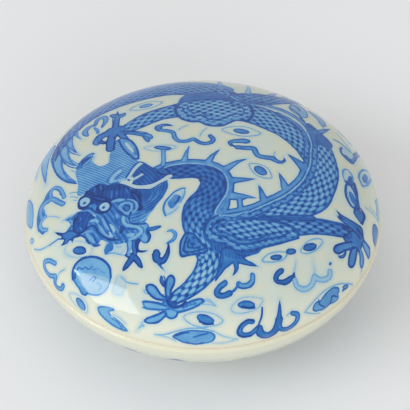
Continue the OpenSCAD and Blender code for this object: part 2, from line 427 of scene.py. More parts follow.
# Strokes that draw the dragon over its skin, from its back to its face.
dragonStrokes = [
    # ridge of the back: pale line between two dark bands, from the neck to the tail
    ("brush", 0.7, 0.82, (-9, -1.7), (-7, -0.8), (-4, -0.15), (-1, -0.1), (2.2, -0.8), (4.1, -2.3),
     (5.1, -4.5), (5.3, -6.5), (4.9, -8.5), (3.9, -10.7), (3, -12.4)),
    ("brush", 0.66, 0.62, (3.2, -12.9), (5, -12.7), (8, -11.8), (10, -10.9), (12.8, -9), (15.2, -7.2),
     (17, -5.3), (18.7, -3), (19.7, -0.6), (20.4, 2), (20.7, 6), (20.9, 8), (20.4, 10.7), (19.3, 13.2),
     (17.4, 15.2), (15, 16.8)),
    ("brush", 0.66, 0.6, (3, -14.1), (5.3, -14.4), (8.3, -13.5), (10.4, -12.6), (13.4, -10.6), (16, -8.8),
     (18.1, -6.6), (20, -4), (21.2, -1.3), (22, 2), (22.3, 6), (22.4, 8.6), (21.9, 11.5), (20.7, 14.5),
     (18.6, 16.9), (15.8, 18.6), (12, 19.6), (9.2, 20.2), (7.4, 21.2), (6, 22.8)),
    ("white", 0.34, 0.17, (-7.6, -1.5), (-6.5, -1), (-4, -0.5), (-1, -0.5), (2, -1.2), (3.8, -2.6),
     (4.7, -4.5), (4.9, -6.5), (4.5, -8.5), (3.5, -10.5), (2.7, -12.1), (2.4, -13.1), (3.1, -13.6),
     (5, -13.6), (8, -12.7), (10, -11.8), (13, -9.8), (15.5, -8), (17.5, -6), (19.3, -3.5), (20.4, -1),
     (21.2, 2), (21.5, 6), (21.7, 8), (21.2, 11), (20, 13.8), (18, 16), (15.5, 17.7), (12, 18.7), (9, 19.3),
     (7, 20.3), (5.5, 22)),
    # spikes along the back
    ("flick", 0.55, 0.75, (-3.7, 0.2), (-3.3, 2.4), (-2.7, 4.6)),
    ("flick", 0.64, 0.8, (1, 0), (2, 1.9), (3.4, 3.7)),
    ("flick", 0.64, 0.85, (4.7, -1.6), (6.8, 0.2), (8.9, 1.3)),
    ("flick", 0.7, 0.9, (5.9, -4.8), (8.1, -4.5), (10.4, -4.1)),
    ("flick", 0.6, 0.9, (5.8, -8.7), (8, -8.8), (10.6, -9)),
    ("flick", 0.64, 0.85, (11.9, -9.3), (11.4, -7.4), (10.8, -5.3)),
    ("flick", 0.64, 0.9, (16.1, -5.6), (15.6, -3.7), (14.8, -1.6)),
    ("flick", 0.68, 1.15, (20, 0.5), (18.6, 2.1), (16.7, 3.8)),
    ("brush", 0.5, 0.5, (-7.9, -1.4), (-7.8, 1), (-7.9, 3.4)),
    ("leaf", 0.7, 0.6, (-9.8, 4.5), (-8, 4.1), (-6.2, 3.8)),
    ("ring", 0.35, 0.12, (-11.8, 4.5), (-9.5, 4.9), (-7, 4.9), (-5.3, 4.3), (-7, 3.3), (-9.8, 3.4)),
    # bars between the hairpin and the lowest spike
    ("brush", 0.7, 0.6, (5, -9.2), (6.8, -9.3), (8, -9)),
    ("brush", 0.66, 0.6, (7.2, -9.2), (7.2, -10.4), (7.3, -11.9)),
    ("brush", 0.7, 0.7, (4.6, -9.4), (4.6, -11), (4, -12.8)),
    # outer fins
    ("leaf", 0.8, 1, (20.8, 14.2), (22, 13), (22.6, 11.4)),
    ("flick", 0.66, 1, (21.8, 12.4), (23.8, 13.6), (26, 16.6)),
    ("flick", 0.5, 0.9, (3.4, 24.6), (3.4, 28), (3.2, 31.8)),
    ("flick", 0.42, 0.75, (9, 22.8), (9.3, 26), (9.2, 31)),
    ("flick", 0.6, 1.1, (12.6, 22), (13.8, 24.6), (15.6, 28)),
    ("flick", 0.5, 1, (15.6, 22.4), (17, 26), (18, 30)),
    ("patch", 0.56, (17.5, 20.8), (18.5, 23.7), (19.9, 23.2), (21.1, 21.3), (21.4, 18.4), (20.3, 17.2),
     (19.1, 17.9), (17.9, 19)),
    ("line", 0.86, 0.2, (17.7, 20.3), (19.1, 18.8), (19.9, 17), (20.5, 16)),
    ("line", 0.84, 0.26, (18.4, 22), (19.2, 21.6), (19.8, 20.2)),
    ("leaf", 0.6, 0.9, (21.5, 21.8), (22.7, 20.7), (23.9, 19.1), (24.8, 16.4)),
    ("flick", 0.5, 0.35, (23.8, 17.4), (24.4, 16), (24.5, 14.9)),
    ("patch", 0.5, (13, 33.2), (14.4, 32.4), (16.6, 31.2), (18.2, 29.2), (17.6, 27.4), (16.2, 28.6),
     (15, 30.4), (13.4, 31.8)),
    # plate outlines, nested inward and outward
    ("ring", 0.78, 0.2, *dragonPlates["thigh"][2]),
    ("line", 0.8, 0.19, (-4.2, 16.9), (-3.8, 15.2), (-2.8, 14.1), (-1.6, 13.9), (-0.6, 14.2), (0.2, 13.5),
     (1.1, 12.9), (2.5, 12.6), (4, 13.1), (5.3, 14.2), (6.8, 15), (8, 15.2), (8.2, 16.8), (7.4, 18),
     (5.4, 18.7)),
    ("line", 0.75, 0.17, (-3.2, 17.4), (-2.9, 15.9), (-1.7, 15), (-0.5, 15.3), (0.4, 14.4), (1.8, 13.9)),
    ("line", 0.8, 0.2, (2.9, -13.6), (0.9, -15.2), (0.3, -17.1), (0.9, -18.9), (2.4, -19.7), (4, -19.9),
     (5.2, -20.8), (7.5, -21.3), (9.7, -21), (11.7, -20), (14.8, -18.7), (18.5, -16.8)),
    ("line", 0.8, 0.19, (4, -14.5), (2.2, -15.8), (1.7, -17), (2.2, -18), (4, -18.3), (5.5, -19.3),
     (8, -19.7), (10, -19.3), (12, -18.3), (15, -17.2), (16.8, -16)),
    ("line", 0.75, 0.17, (4.6, -15.3), (3, -16), (2.7, -16.8), (3.3, -17.4), (4.8, -17.6), (6.5, -18.6),
     (8.5, -18.8), (10.5, -18.3), (12, -17.5), (14.2, -16.5)),
    ("white", 0.52, 0.2, (3.3, -14), (1.5, -15.4), (1, -17), (1.5, -18.5), (3, -19.1), (4.6, -19.4),
     (5.5, -20.1), (7.7, -20.5), (9.8, -20.2), (11.8, -19.2), (14.8, -18), (17.4, -16.5)),
    ("white", 0.54, 0.16, (4.3, -14.9), (2.6, -15.9), (2.2, -16.9), (2.8, -17.7), (4.4, -17.95), (6, -19),
     (8.2, -19.3), (10.2, -18.8), (12, -17.9), (14.6, -16.9)),
    ("white", 0.46, 0.24, (-4.8, 16.4), (-4.6, 14.8), (-3.6, 13.5), (-2.2, 12.9), (-0.7, 13.1), (0.3, 12.3),
     (1.6, 11.7), (3.2, 11.7), (4.6, 12.4), (6, 13.6), (7.8, 14), (9.2, 15.2)),
    ("white", 0.48, 0.18, (-3.7, 17.1), (-3.3, 15.6), (-2.3, 14.6), (-1.2, 14.5), (-0.1, 14.6), (0.9, 13.6),
     (2.2, 13.2), (3.8, 13.7), (5.2, 14.8), (6.8, 15.7)),
    # heart-shaped plate of the chest
    ("white", 0.46, 0.16, (-3.1, -18.1), (-3.8, -19.7), (-3.9, -21.4), (-3.2, -22), (-1.6, -21.8),
     (0.3, -21.4)),
    ("white", 0.5, 0.14, (-2.7, -18.7), (-3.1, -20.3), (-2.9, -21.2), (-1.2, -21.1)),
    ("ringed", (0.72, 0.85), 0.18, (-3.1, -17.7), (-4.1, -19.3), (-4.3, -21), (-4, -22.5), (-2.5, -22.3),
     (0, -21.9), (1, -21.2), (-0.4, -19.6), (-1.6, -18)),
    ("line", 0.85, 0.16, (-3, -18.5), (-3.4, -20), (-3.4, -21.6), (-1.2, -21.5), (0.3, -21)),
    ("line", 0.85, 0.14, (-2.6, -19), (-2.8, -20.5), (-1.6, -20.9), (-0.5, -20.6)),
    # wavy upper edge of the fore leg
    ("line", 0.72, 0.22, (6.6, -14.4), (10, -14), (12, -13.4), (14, -13.1), (17, -12.8), (20, -12.2),
     (22.8, -11.6), (25.4, -11.3), (27.6, -10.9)),
    # hub and flares at the elbow
    ("flick", 0.76, 1.2, (4.6, -21.8), (7.6, -23.1), (10.9, -23.9)),
    ("flick", 0.74, 0.95, (5.4, -21.6), (6.5, -24.3), (5.7, -26.2)),
    ("flick", 0.7, 0.5, (6, -22.4), (7.8, -22.2), (9.6, -21.6)),
    # hind foot
    ("leaf", 0.84, 1.6, (-19.9, 10.4), (-18, 10.9), (-15.7, 11.6)),
    ("brush", 0.76, 0.66, (-17.6, 11.8), (-17.6, 14), (-17.4, 15.8)),
    ("leaf", 0.76, 0.7, (-18.9, 17.3), (-18, 16.4), (-17.2, 15.6)),
    ("leaf", 0.76, 0.7, (-15.9, 17), (-16.6, 16.1), (-17.2, 15.4)),
    ("flick", 0.7, 0.4, (-17.4, 16.2), (-17.5, 18.4)),
    ("brush", 0.8, 0.85, (-18.6, 10.4), (-20.4, 9.9), (-21.2, 8.8)),
    ("leaf", 0.68, 0.62, (-21.3, 9.6), (-21.6, 8.3), (-20.9, 7.2)),
    ("leaf", 0.8, 0.5, (-21.2, 8.7), (-20.2, 7.9), (-19.6, 7.2)),
    ("brush", 0.84, 0.92, (-18, 10), (-18.5, 7.8), (-18.5, 5.4)),
    ("brush", 0.76, 0.72, (-16.7, 9.8), (-15.5, 7.6), (-14.6, 5.6)),
    ("leaf", 0.78, 1, (-15.2, 6.2), (-14, 4.2), (-13.2, 1.9)),
    ("brush", 0.78, 0.55, (-16, 10), (-13.6, 9.2), (-11.6, 8.3)),
    ("leaf", 0.64, 0.6, (-12.4, 8.5), (-10.9, 8.1), (-10.1, 7)),
    ("leaf", 0.64, 0.5, (-12, 8.1), (-11.1, 6.9), (-10.8, 6)),
    ("line", 0.85, 0.15, (-18.3, 12.2), (-18.3, 14), (-18.4, 15.6)),
    ("line", 0.85, 0.15, (-17.9, 9), (-17.6, 7.2), (-17.9, 5.2)),
    ("patch", 0.6, (-16.9, 7.8), (-16.1, 5.3), (-15.1, 3.5), (-13.6, 1.6), (-12.7, 1.4), (-12.8, 3.1),
     (-13.4, 5.3), (-14.6, 7.3), (-16.1, 8.2)),
    ("whiteLeaf", 0.2, 0.36, (-15.5, 6.7), (-14.7, 5.1), (-13.8, 3.5)),
    ("line", 0.86, 0.17, (-16.9, 7.8), (-16.1, 5.3), (-15.1, 3.5), (-13.6, 1.6), (-12.7, 1.4)),
    ("line", 0.86, 0.17, (-16.1, 8.2), (-14.6, 7.3), (-13.4, 5.3), (-12.8, 3.1), (-12.7, 1.4)),
    ("line", 0.85, 0.15, (-15.4, 10.4), (-13.2, 9.8), (-11.2, 9)),
    ("line", 0.85, 0.16, (-19.4, 11.4), (-21.2, 10.5), (-22, 9)),
    # tail fronds
    ("flick", 0.52, 1.3, (-31.3, 12.6), (-31.9, 8.8), (-31.8, 4.7), (-31.3, 0.3)),
    ("flick", 0.56, 1.25, (-29.5, 7.3), (-28.8, 3.1), (-27.2, -0.2), (-24.8, -2.5)),
    ("flick", 0.54, 1.05, (-28.2, 10.3), (-27.6, 6.4), (-26.3, 3.7), (-24.3, 1.8)),
    ("flick", 0.54, 0.85, (-27.2, 12.8), (-26.8, 9.8), (-25.7, 7.2), (-24.5, 5.6)),
    ("flick", 0.5, 0.62, (-26.2, 15.7), (-25.6, 12.7), (-24.7, 10.9), (-24.1, 10.2)),
    ("leaf", 0.3, 0.3, (-32.5, 12.6), (-33.4, 8.8), (-33.7, 4.2)),
    ("line", 0.78, 0.15, (-30.4, 8.1), (-29.8, 4.2), (-28.6, 0.9), (-26.9, -1.3), (-25, -2.5)),
    ("line", 0.66, 0.12, (-28.6, 6.1), (-27.8, 2.6), (-26.5, -0.1), (-25.1, -2)),
    ("line", 0.74, 0.14, (-29.1, 10.6), (-28.4, 6.4), (-27.1, 3.6), (-25.6, 2.1), (-24.1, 1.6)),
    ("line", 0.6, 0.12, (-27.5, 10.3), (-26.7, 5.8), (-25.4, 3.5), (-24.3, 2.2)),
    ("line", 0.7, 0.13, (-27.9, 12.9), (-27.5, 9.7), (-26.3, 7), (-24.6, 5.4)),
    ("line", 0.9, 0.2, (-28.4, 14.4), (-28.7, 12.2), (-29.3, 10.4), (-29.4, 8.6), (-29.7, 6.8)),
    # horns, left bare between dark outlines
    ("white", 0.2, 0.4, (-14.7, -4.3), (-14.2, -3), (-13.7, -2), (-13.1, -1), (-12.6, -0.3), (-12.3, 0)),
    ("white", 0.22, 0.3, (-14.2, -4.3), (-13.2, -3.8), (-12.3, -3.2), (-11.9, -2.9)),
    ("white", 0.16, 0.46, (-15.6, -4.4), (-14.6, -5.1), (-13.4, -5.8), (-12, -6.2), (-10.6, -6.35),
     (-9.4, -5.8), (-8.2, -4.9), (-7.2, -4.2), (-6.4, -3.8)),
    ("white", 0.32, 0.32, (-18, -3.9), (-17.8, -3.1), (-17.2, -2.2), (-16.3, -1.4)),
    ("white", 0.34, 0.3, (-17.9, -4.1), (-16.6, -4), (-15.4, -3.7)),
    ("line", 0.8, 0.15, (-15.1, -3.4), (-14.5, -2.2), (-13.9, -0.9), (-13.2, 0.1), (-12.4, 0.5),
     (-11.6, 0.1), (-10.8, -0.6), (-10, -1.3), (-9.2, -1.7)),
    ("line", 0.78, 0.13, (-14, -3.3), (-13.4, -2.2), (-12.7, -1.1), (-12, -0.4)),
    ("line", 0.85, 0.16, (-17.9, -4.7), (-16.7, -4.7), (-15.7, -5.1), (-14.6, -5.8), (-13.2, -6.6),
     (-11.8, -6.85), (-10.6, -7), (-9.6, -6.7), (-8.4, -5.8), (-7, -5)),
    ("line", 0.85, 0.13, (-13.7, -5.2), (-12.2, -5.7), (-10.4, -5.6), (-9, -5), (-7.8, -4.1), (-7.2, -3.5)),
    ("line", 0.7, 0.13, (-18.8, -3.8), (-18.5, -2.8), (-17.6, -1.6), (-16.6, -0.7), (-15.8, -0.4)),
    ("line", 0.7, 0.12, (-17.1, -3.5), (-16.5, -2.6), (-15.6, -1.8)),
    ("line", 0.7, 0.14, (-18.6, -4.9), (-17.6, -4.4), (-16.6, -4.2)),
    ("leaf", 0.96, 0.9, (-9.5, -1.4), (-8, -2.3), (-6.4, -3.4)),
    ("line", 0.9, 0.16, (-12, -2), (-11.8, -2.6)),
    ("line", 0.9, 0.2, (-14.6, -4.05), (-14.5, -4.15)),
    # forelock and brow, darkest beside the eyes
    ("leaf", 0.97, 0.6, (-21.7, -6.9), (-19.9, -7.9), (-18.4, -8.5)),
    ("leaf", 0.95, 0.4, (-23, -5.2), (-22.3, -5.8), (-21.4, -6.4)),
    ("leaf", 0.95, 0.55, (-14, -7.2), (-13, -8.6), (-12, -10.6)),
    ("leaf", 0.92, 0.35, (-12.2, -10.4), (-11.9, -11.4), (-12.6, -12)),
    ("line", 0.95, 0.14, (-17.4, -5.2), (-17.3, -6.2)),
    ("line", 0.95, 0.14, (-16.4, -5), (-16.3, -5.9)),
    ("line", 0.95, 0.15, (-15.6, -7.2), (-15.5, -8.2)),
    ("line", 0.95, 0.14, (-20.6, -4.2), (-20.8, -5.2)),
    ("line", 0.95, 0.14, (-19.3, -5.6), (-19.6, -6.2)),
    ("line", 0.95, 0.14, (-21.5, -5.2), (-21.8, -6)),
    ("whiteLeaf", 0.62, 0.2, (-20.1, -4.2), (-20, -5), (-19.9, -5.8)),
    ("whiteLeaf", 0.64, 0.2, (-17.9, -6.2), (-17.8, -7.2), (-17.9, -8.3)),
    ("whiteLeaf", 0.64, 0.16, (-16.8, -6.2), (-16.8, -7.2), (-16.6, -8)),
    ("whiteLeaf", 0.62, 0.18, (-15.4, -5.9), (-14.8, -6.7), (-14.5, -7.8)),
    ("whiteLeaf", 0.6, 0.16, (-21.2, -4.6), (-21.2, -5.4), (-21.4, -6.2)),
    # bridge of the nose
    ("whiteLeaf", 0.56, 0.4, (-22.3, -9), (-21.2, -9.3), (-20.7, -10.4)),
    ("whiteLeaf", 0.5, 0.22, (-23.8, -9.9), (-22.3, -10), (-21.3, -11), (-20, -12)),
    ("whiteLeaf", 0.6, 0.16, (-23.9, -10.9), (-23.7, -11.6), (-24.1, -12.4)),
    ("whiteLeaf", 0.55, 0.16, (-23.8, -13.2), (-23.6, -13.8), (-23.4, -14.2)),
    ("whiteLeaf", 0.42, 0.2, (-26.2, -11.1), (-25.5, -11.5), (-25.4, -12.6)),
    ("line", 0.95, 0.18, (-24.9, -11), (-25.1, -12.2), (-25, -13.4), (-24.4, -14.3), (-23.4, -14.6),
     (-22.5, -14.2)),
    # wavy bands from the mouth
    ("whiteLeaf", 0.36, 0.32, (-21.9, -12.6), (-20.8, -12.7), (-20.1, -13.6)),
    ("whiteLeaf", 0.42, 0.34, (-20.4, -13.4), (-19.6, -14.7), (-18.9, -15.9), (-18, -17.2)),
    ("whiteLeaf", 0.42, 0.3, (-19.5, -12.4), (-19, -13.8), (-18.4, -14.9), (-17.9, -15.6)),
    ("whiteLeaf", 0.3, 0.28, (-18, -14), (-17.4, -15), (-16.9, -16.2)),
    ("whiteLeaf", 0.28, 0.3, (-18, -15.8), (-17.7, -16.6), (-17.2, -17.2)),
    ("whiteLeaf", 0.42, 0.34, (-22.6, -15), (-21.8, -16.2), (-20.8, -17.6)),
    ("whiteLeaf", 0.46, 0.3, (-23.6, -14.8), (-22.2, -14.7), (-21.2, -15.1)),
    ("whiteLeaf", 0.44, 0.26, (-17, -12), (-16.6, -12.6), (-16.8, -13.6)),
    ("line", 0.9, 0.19, (-22.5, -14), (-21.4, -13.7), (-20.7, -14.2), (-20.2, -15.3), (-19.4, -16.3),
     (-18.2, -17.3), (-17.2, -17.8)),
    ("line", 0.75, 0.13, (-20.1, -13.4), (-19.3, -14.5), (-18.8, -15.5), (-18.1, -16.4)),
    ("line", 0.82, 0.15, (-19, -12.2), (-18.6, -13.4), (-18, -14.8), (-17.5, -16)),
    ("line", 0.85, 0.18, (-25.4, -15.1), (-24.4, -14.95), (-23.4, -15.3), (-22.6, -16), (-22, -17),
     (-21.3, -17.8), (-20.4, -18.25), (-19.8, -18.2)),
    ("line", 0.8, 0.16, (-21, -15.8), (-20.7, -16.8), (-20.2, -17.9)),
    ("line", 0.8, 0.14, (-16.9, -12.9), (-16.6, -14), (-15.9, -14.9)),
    ("line", 0.85, 0.17, (-16.2, -11.5), (-15.4, -12.4), (-14.7, -13)),
    ("leaf", 0.85, 0.36, (-15.8, -14.9), (-15.5, -15.8), (-16, -16.6)),
    ("leaf", 0.85, 0.34, (-18.2, -17.5), (-16.4, -18.1), (-14.4, -18.7)),
    # ear: dark spot in pale rings
    ("white", 0.42, 0.3, (-16.1, -10.4), (-15.9, -11.2), (-15.3, -12), (-14.5, -12.4)),
    ("white", 0.42, 0.26, (-16, -10.3), (-15.2, -9.8), (-14.3, -9.9), (-13.8, -10.5), (-13.8, -11.4),
     (-14.3, -12.2)),
    ("white", 0.44, 0.26, (-14.5, -9.1), (-13.4, -9.5), (-12.8, -10.3), (-12.8, -11.4), (-13.4, -12.1)),
    ("whiteLeaf", 0.4, 0.34, (-17.8, -9.1), (-16.5, -8.9), (-15.2, -9)),
    ("leaf", 0.76, 0.72, (-15.3, -10.6), (-14.8, -10.9), (-14.5, -11.8)),
    ("line", 0.78, 0.14, (-16.4, -9.7), (-15.2, -9.3), (-14, -9.5), (-13.3, -10.3), (-13.3, -11.4)),
    # cheek
    ("white", 0.36, 0.3, (-15.3, -12.9), (-15.3, -13.8), (-14.9, -14.7), (-14.1, -15.2), (-13, -15.5),
     (-12.1, -16), (-11.7, -16.7), (-12.2, -17.3), (-13, -17.9), (-14, -18.2)),
    ("whiteLeaf", 0.36, 0.4, (-14.6, -17), (-13.8, -17.3), (-13, -17.1)),
    ("line", 0.86, 0.18, (-13.9, -12.2), (-14.2, -13.4), (-14, -14.4), (-13.1, -14.9), (-11.8, -15.1),
     (-11, -15.1)),
    ("lineLeaf", 0.8, 0.28, (-14.6, -15.7), (-13.8, -16), (-12.9, -16.1)),
    ("line", 0.75, 0.13, (-15.9, -13.4), (-15.6, -14.8), (-14.6, -15.8)),
    ("whiteLeaf", 0.5, 0.2, (-13.7, -14.1), (-12.2, -13.8), (-10.9, -12.6)),
    ("whiteLeaf", 0.42, 0.22, (-12.2, -14.6), (-11, -13.8), (-10.1, -12.5)),
    ("whiteLeaf", 0.5, 0.14, (-8.7, -7.3), (-8.9, -8.7), (-10.3, -10.3)),
    ("whiteLeaf", 0.5, 0.14, (-9.7, -7.5), (-10.1, -9), (-11, -10)),
    # whisks in front of the hair
    ("line", 0.5, 0.11, (-26.1, -4.6), (-25.1, -4.7), (-24.3, -5.1)),
    ("line", 0.5, 0.11, (-26, -5.5), (-25.1, -5.9), (-24.5, -6.3)),
    ("line", 0.4, 0.11, (-25.3, -6.6), (-24.9, -6.8), (-24.5, -6.9)),
    ("line", 0.4, 0.11, (-24.9, -10.1), (-26, -10.2), (-27.4, -10.6)),
    # beard and flames of the chin
    ("patch", 0.26, (-18.7, -18.6), (-18.1, -17.7), (-15.9, -17.9), (-14.6, -18.6), (-14.7, -20.3),
     (-15.8, -20.8), (-17.3, -20.4), (-18.5, -20.3)),
    ("linePatch", 0.6, (-18.9, -19.6), (-18.6, -18.6), (-17.8, -18.1), (-17.1, -18.8), (-17.2, -19.7),
     (-17.9, -20), (-18.6, -20.4)),
    ("line", 0.42, 0.13, (-18.3, -20.3), (-17.2, -20.4), (-16.2, -20.8), (-15.2, -21.1), (-14.4, -21.5)),
    ("lineLeaf", 0.82, 0.4, (-18.4, -19), (-17.9, -19.4), (-17.4, -19.8)),
    ("white", 0.42, 0.3, (-14, -18.6), (-13.9, -19.8), (-14.1, -21.2)),
    ("brush", 0.72, 0.45, (-13.2, -18.7), (-13.1, -20), (-12.9, -21.2)),
    ("line", 0.85, 0.14, (-14.4, -18.9), (-14.3, -20.2), (-14.6, -21.1)),
    ("leaf", 0.7, 0.45, (-11, -16.2), (-9.6, -16.4), (-7.9, -15.9)),
    ("leaf", 0.84, 0.44, (-11.1, -16.8), (-10.3, -17.7), (-10.6, -19.4)),
    ("hook", 0.95, 0.42, (-12.2, -18.5), (-12.6, -19.6), (-12.3, -20.7), (-11.2, -21), (-10.3, -20.8)),
    ("leaf", 0.92, 0.62, (-12.6, -20.6), (-13.6, -22.2), (-15.2, -24.1)),
    ("leaf", 0.92, 0.6, (-14.9, -21.2), (-13, -21.9), (-11.4, -24.2)),
    ("whiteLeaf", 0.3, 0.22, (-16.9, -19), (-16, -19.4), (-15.2, -19.2)),
    # eyes over everything
    ("white", 0.3, 1.1, (-23.08, -7.75), (-23.03, -7.7)),
    ("white", 0.28, 1.02, (-19.15, -9.95), (-19.1, -9.9)),
    ("dotRing", 0.94, 0.17, (-23.1, -6.5), (-24, -6.9), (-24.35, -7.8), (-24.1, -8.7), (-23.3, -9.15),
     (-22.4, -8.9), (-21.85, -8), (-22.1, -7)),
    ("dot", 0.96, 0.24, (-24.3, -7.6), (-24.1, -8.8), (-23.4, -9.3)),
    ("dotRing", 0.94, 0.17, (-20.35, -9.9), (-19.8, -8.95), (-18.9, -8.75), (-18.05, -9.4), (-17.95, -10.4),
     (-18.7, -11.1), (-19.7, -11)),
    ("dot", 0.98, 0.26, (-20.5, -9.9), (-20.3, -10.9), (-19.4, -11.3), (-18.4, -11.1)),
    ("dot", 0.85, 0.26, (-23.12, -8.05), (-23.08, -7.98)),
    ("dot", 0.85, 0.28, (-19.32, -10.12), (-19.25, -10.05)),
]

